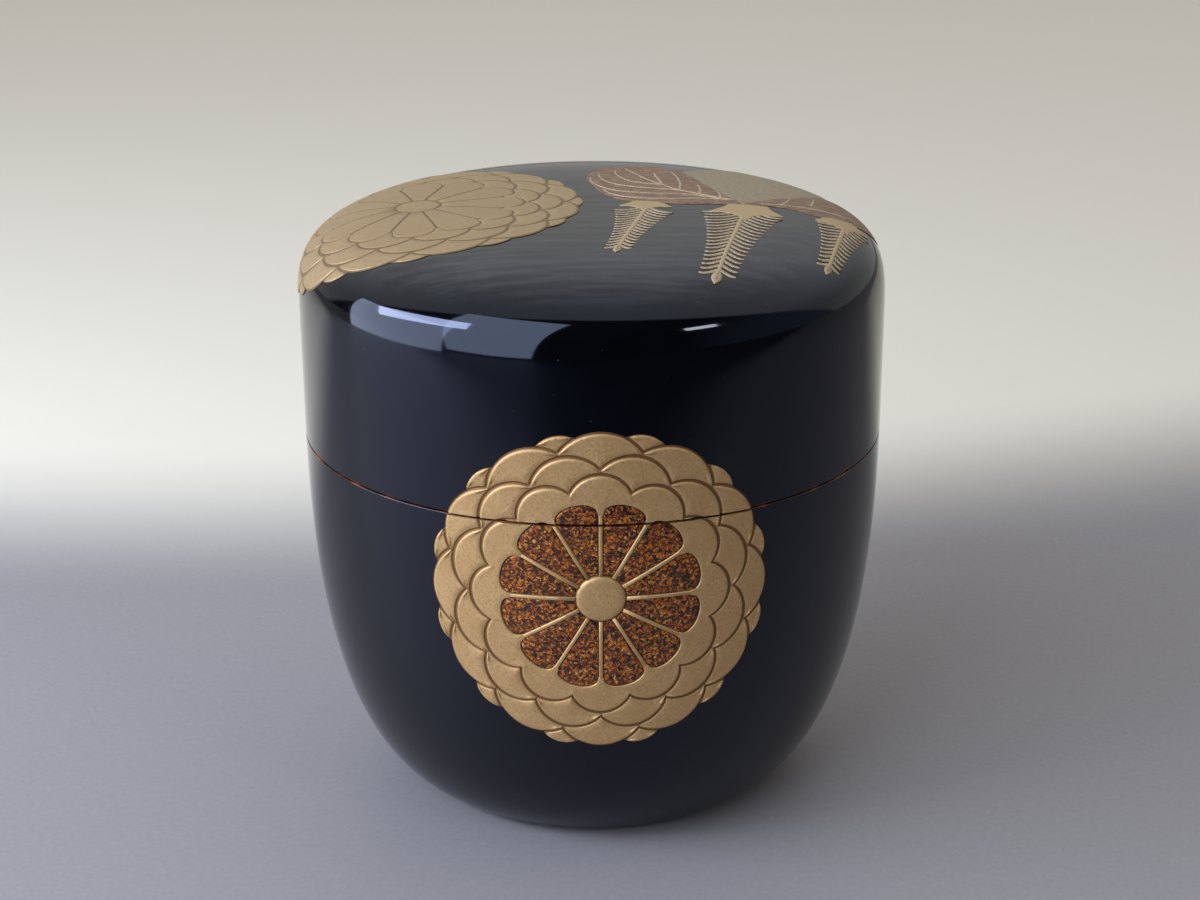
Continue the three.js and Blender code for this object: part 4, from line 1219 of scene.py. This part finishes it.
# %% [markdown]
# ## The floor
#
# Gloss shows what stands around it. The floor is plain matt paper: bluish grey under the caddy,
# pale behind it and, far in front where only the lacquer sees it, a dark navy painted shadow of
# the viewer. The pale zone's middle lies 50 mm to the left, so the floor to the right stays darker
# as painted shade. Each change of tone is a smooth step, by the distance from a point behind the
# caddy and by the depth in front of it. Real fibres are some hundredths of a millimetre wide, so
# they are drawn 0.8 mm coarse, to show.

# %% Lay the floor
FLOOR_RADIUS = 3.0
# The pale zone's middle lies 50 mm to the left, so the floor to the right stays darker: painted
# shade.
PALE_MIDDLE = (-50 * MM, 600 * MM, 0)
PALE_EDGE = 480 * MM, 550 * MM
# Depths between which the floor turns to the dark navy painted shadow of the viewer.
VIEWER_SHADOW_FRONT = -200 * MM, -110 * MM


def disc(name, radius, count=96):
    """A level round floor: a fan of points at radius times cosine and sine."""
    angle = np.linspace(0, 2 * np.pi, count, endpoint=False)
    points = np.stack([radius * np.cos(angle), radius * np.sin(angle), 0 * angle], -1)
    mesh = bpy.data.meshes.new(name)
    mesh.from_pydata(points.tolist(), [], [list(range(count))])
    piece = bpy.data.objects.new(name, mesh)
    bpy.context.scene.collection.objects.link(piece)
    return piece


def matt_paper():
    """Grey fibres, pale within PALE_EDGE of a point behind, and far in front a dark navy painted
    shadow of the viewer.
    """
    material, tree, place = start_material("floor_matt_paper")
    depth = add(tree, "SeparateXYZ", {"Vector": place}, "Y")
    away = add(tree, "VectorMath", (place, PALE_MIDDLE), "Value", operation="DISTANCE")
    pulp = {"Vector": place, "Scale": 1 / (0.8 * MM), "Detail": 4, "Roughness": 0.55}
    fibre_tones = [(0.3, "#8B8789"), (0.7, "#928E90")]
    fibres = add(tree, "ValToRGB", {"Fac": add(tree, "TexNoise", pulp)}, stops=fibre_tones)
    paper = coat(tree, fibres, "#F0EADA", (away, *PALE_EDGE, 1, 0))
    # Painted shadow of the viewer: dark navy far in front, seen only in the lacquer's reflection.
    paper = coat(tree, paper, "#1C2234", (depth, *VIEWER_SHADOW_FRONT, 1, 0))
    surface = add(tree, "BsdfPrincipled", {"Base Color": paper, "Roughness": 0.55})
    add(tree, "OutputMaterial", {"Surface": surface})
    return material


floor_piece = disc("floor", FLOOR_RADIUS)
floor_piece.data.materials.append(matt_paper())
print("floor", floor_piece.name, "radius m", FLOOR_RADIUS)

# %% [markdown]
# ## The surroundings
#
# The surroundings are a world that is pale behind and above, like a wall and a ceiling of paper,
# and dark towards the viewer, which keeps the shoulder and the front black. To the right the dark
# is lighter and bluer. Each part is told by the direction it is seen in.

# %% Make the world
VIEWER_DARK, RIGHT_DARK = (0.01, 0.011, 0.014, 1), (0.13, 0.15, 0.2, 1)
BACKDROP = (0.6, 0.59, 0.57, 1)
world = bpy.data.worlds.new("studio")
bpy.context.scene.world = world
world.use_nodes = True
tree = world.node_tree
tree.nodes.clear()
towards = add(tree, "TexCoord", out="Generated")


def laid_towards(ground, colour, direction, low, high):
    """Colour over ground where one looks in a direction, as the dot product of the two goes from
    low to high."""
    pair = towards, Vector(direction).normalized()
    dot = add(tree, "VectorMath", pair, "Value", operation="DOT_PRODUCT")
    return coat(tree, ground, colour, (dot, low, high))


level_streaks = add(tree, "Mapping", {"Vector": towards, "Scale": (1, 1, 14)})
streaks = {"Vector": level_streaks, "Scale": 2, "Detail": 4, "Roughness": 0.55}
wall_tones = [(0.3, "#AEADAA"), (0.7, "#B6B5B2")]
low_wall = add(tree, "ValToRGB", {"Fac": add(tree, "TexNoise", streaks)}, stops=wall_tones)
wall = laid_towards(low_wall, "#E2E3E3", (0, 0, 1), 0.2, 0.65)
dark = laid_towards(VIEWER_DARK, RIGHT_DARK, (1, -0.15, 0), 0.6, 0.97)
around = laid_towards(dark, wall, (0.11, 0.75, 0.65), 0.24, 0.3)
seen = add(tree, "LightPath", out="Is Camera Ray")
backdrop = {"Factor_Float": seen, "A_Color": around, "B_Color": BACKDROP}
ground = add(tree, "Mix", backdrop, "Result_Color", data_type="RGBA")
light = add(tree, "Background", {"Color": ground, "Strength": 1})
add(tree, "OutputWorld", {"Surface": light})
print("world made of", len(tree.nodes), "nodes")

# %% [markdown]
# ## Lamps
#
# Two wide bluish soft boxes stand side by side to the left. A slanting strip above the first of
# them draws a bright line on the shoulder, and a small one stands to the right. Their size and
# distance give the size of their reflection, and power is radiance times pi times area.

# %% Place the soft boxes
AIM = Vector((0, 0, 50 * MM))


def soft_box(name, azimuth, elevation, distance, width, height, radiance, colour, roll=0):
    """A rectangle of light facing the caddy, in metres and degrees. Azimuth turns from +Y to +X,
    and the box stands at AIM + distance (sin a cos e, cos a cos e, sin e)."""
    a, e = np.radians(azimuth), np.radians(elevation)
    away = Vector((np.sin(a) * np.cos(e), np.cos(a) * np.cos(e), np.sin(e)))
    lamp = bpy.data.lights.new(name, "AREA")
    lamp.shape = "RECTANGLE"
    lamp.size, lamp.size_y = width, height
    lamp.energy = radiance * np.pi * width * height
    lamp.color = linear(colour)[:3]
    holder = bpy.data.objects.new(name, lamp)
    facing = away.to_track_quat("Z", "Y").to_matrix().to_4x4()
    rolled = facing @ Matrix.Rotation(np.radians(roll), 4, "Z")
    holder.matrix_world = Matrix.Translation(AIM + away * distance) @ rolled
    bpy.context.scene.collection.objects.link(holder)
    return lamp.energy


powers = [
    soft_box("left_pane_box", -101, 10, 0.43, 0.36, 0.26, 4.5, "#D8E4F8"),
    soft_box("right_pane_box", -141, 26, 0.47, 0.31, 0.54, 3.7, "#D8E4F8"),
    soft_box("strip_box", -109, 27, 0.42, 0.28, 0.09, 16.0, "#D8E0FA", 17),
    soft_box("side_box", 138, 31, 0.6, 0.12, 0.05, 14.0, "#FFFAF4"),
]
print("watts", [round(power, 2) for power in powers])

# %% [markdown]
# ## Camera
#
# The lens is a moderate telephoto close to the caddy, looking down 20.6 degrees at the lid. It is
# turned about Z, then tipped about X from looking straight down, with a slight roll about its own
# axis, which comes last.

# %% Place the camera
CAMERA_PLACE = Vector((-6.1, -269.1, 143.9)) * MM
CAMERA_TURNS = (-1.3, "Z"), (69.38, "X"), (-0.31, "Z")
lens = bpy.data.cameras.new("camera")
lens.lens = 66
lens.sensor_width = 36
lens.shift_x = 0.0059
lens.clip_start = 0.01
camera = bpy.data.objects.new("camera", lens)
turns = [Matrix.Rotation(np.radians(angle), 4, axis) for angle, axis in CAMERA_TURNS]
camera.matrix_world = Matrix.Translation(CAMERA_PLACE) @ turns[0] @ turns[1] @ turns[2]
bpy.context.scene.collection.objects.link(camera)
bpy.context.scene.camera = camera
bpy.context.scene.view_settings.view_transform = "Standard"
print("camera at", [round(value, 4) for value in camera.location])
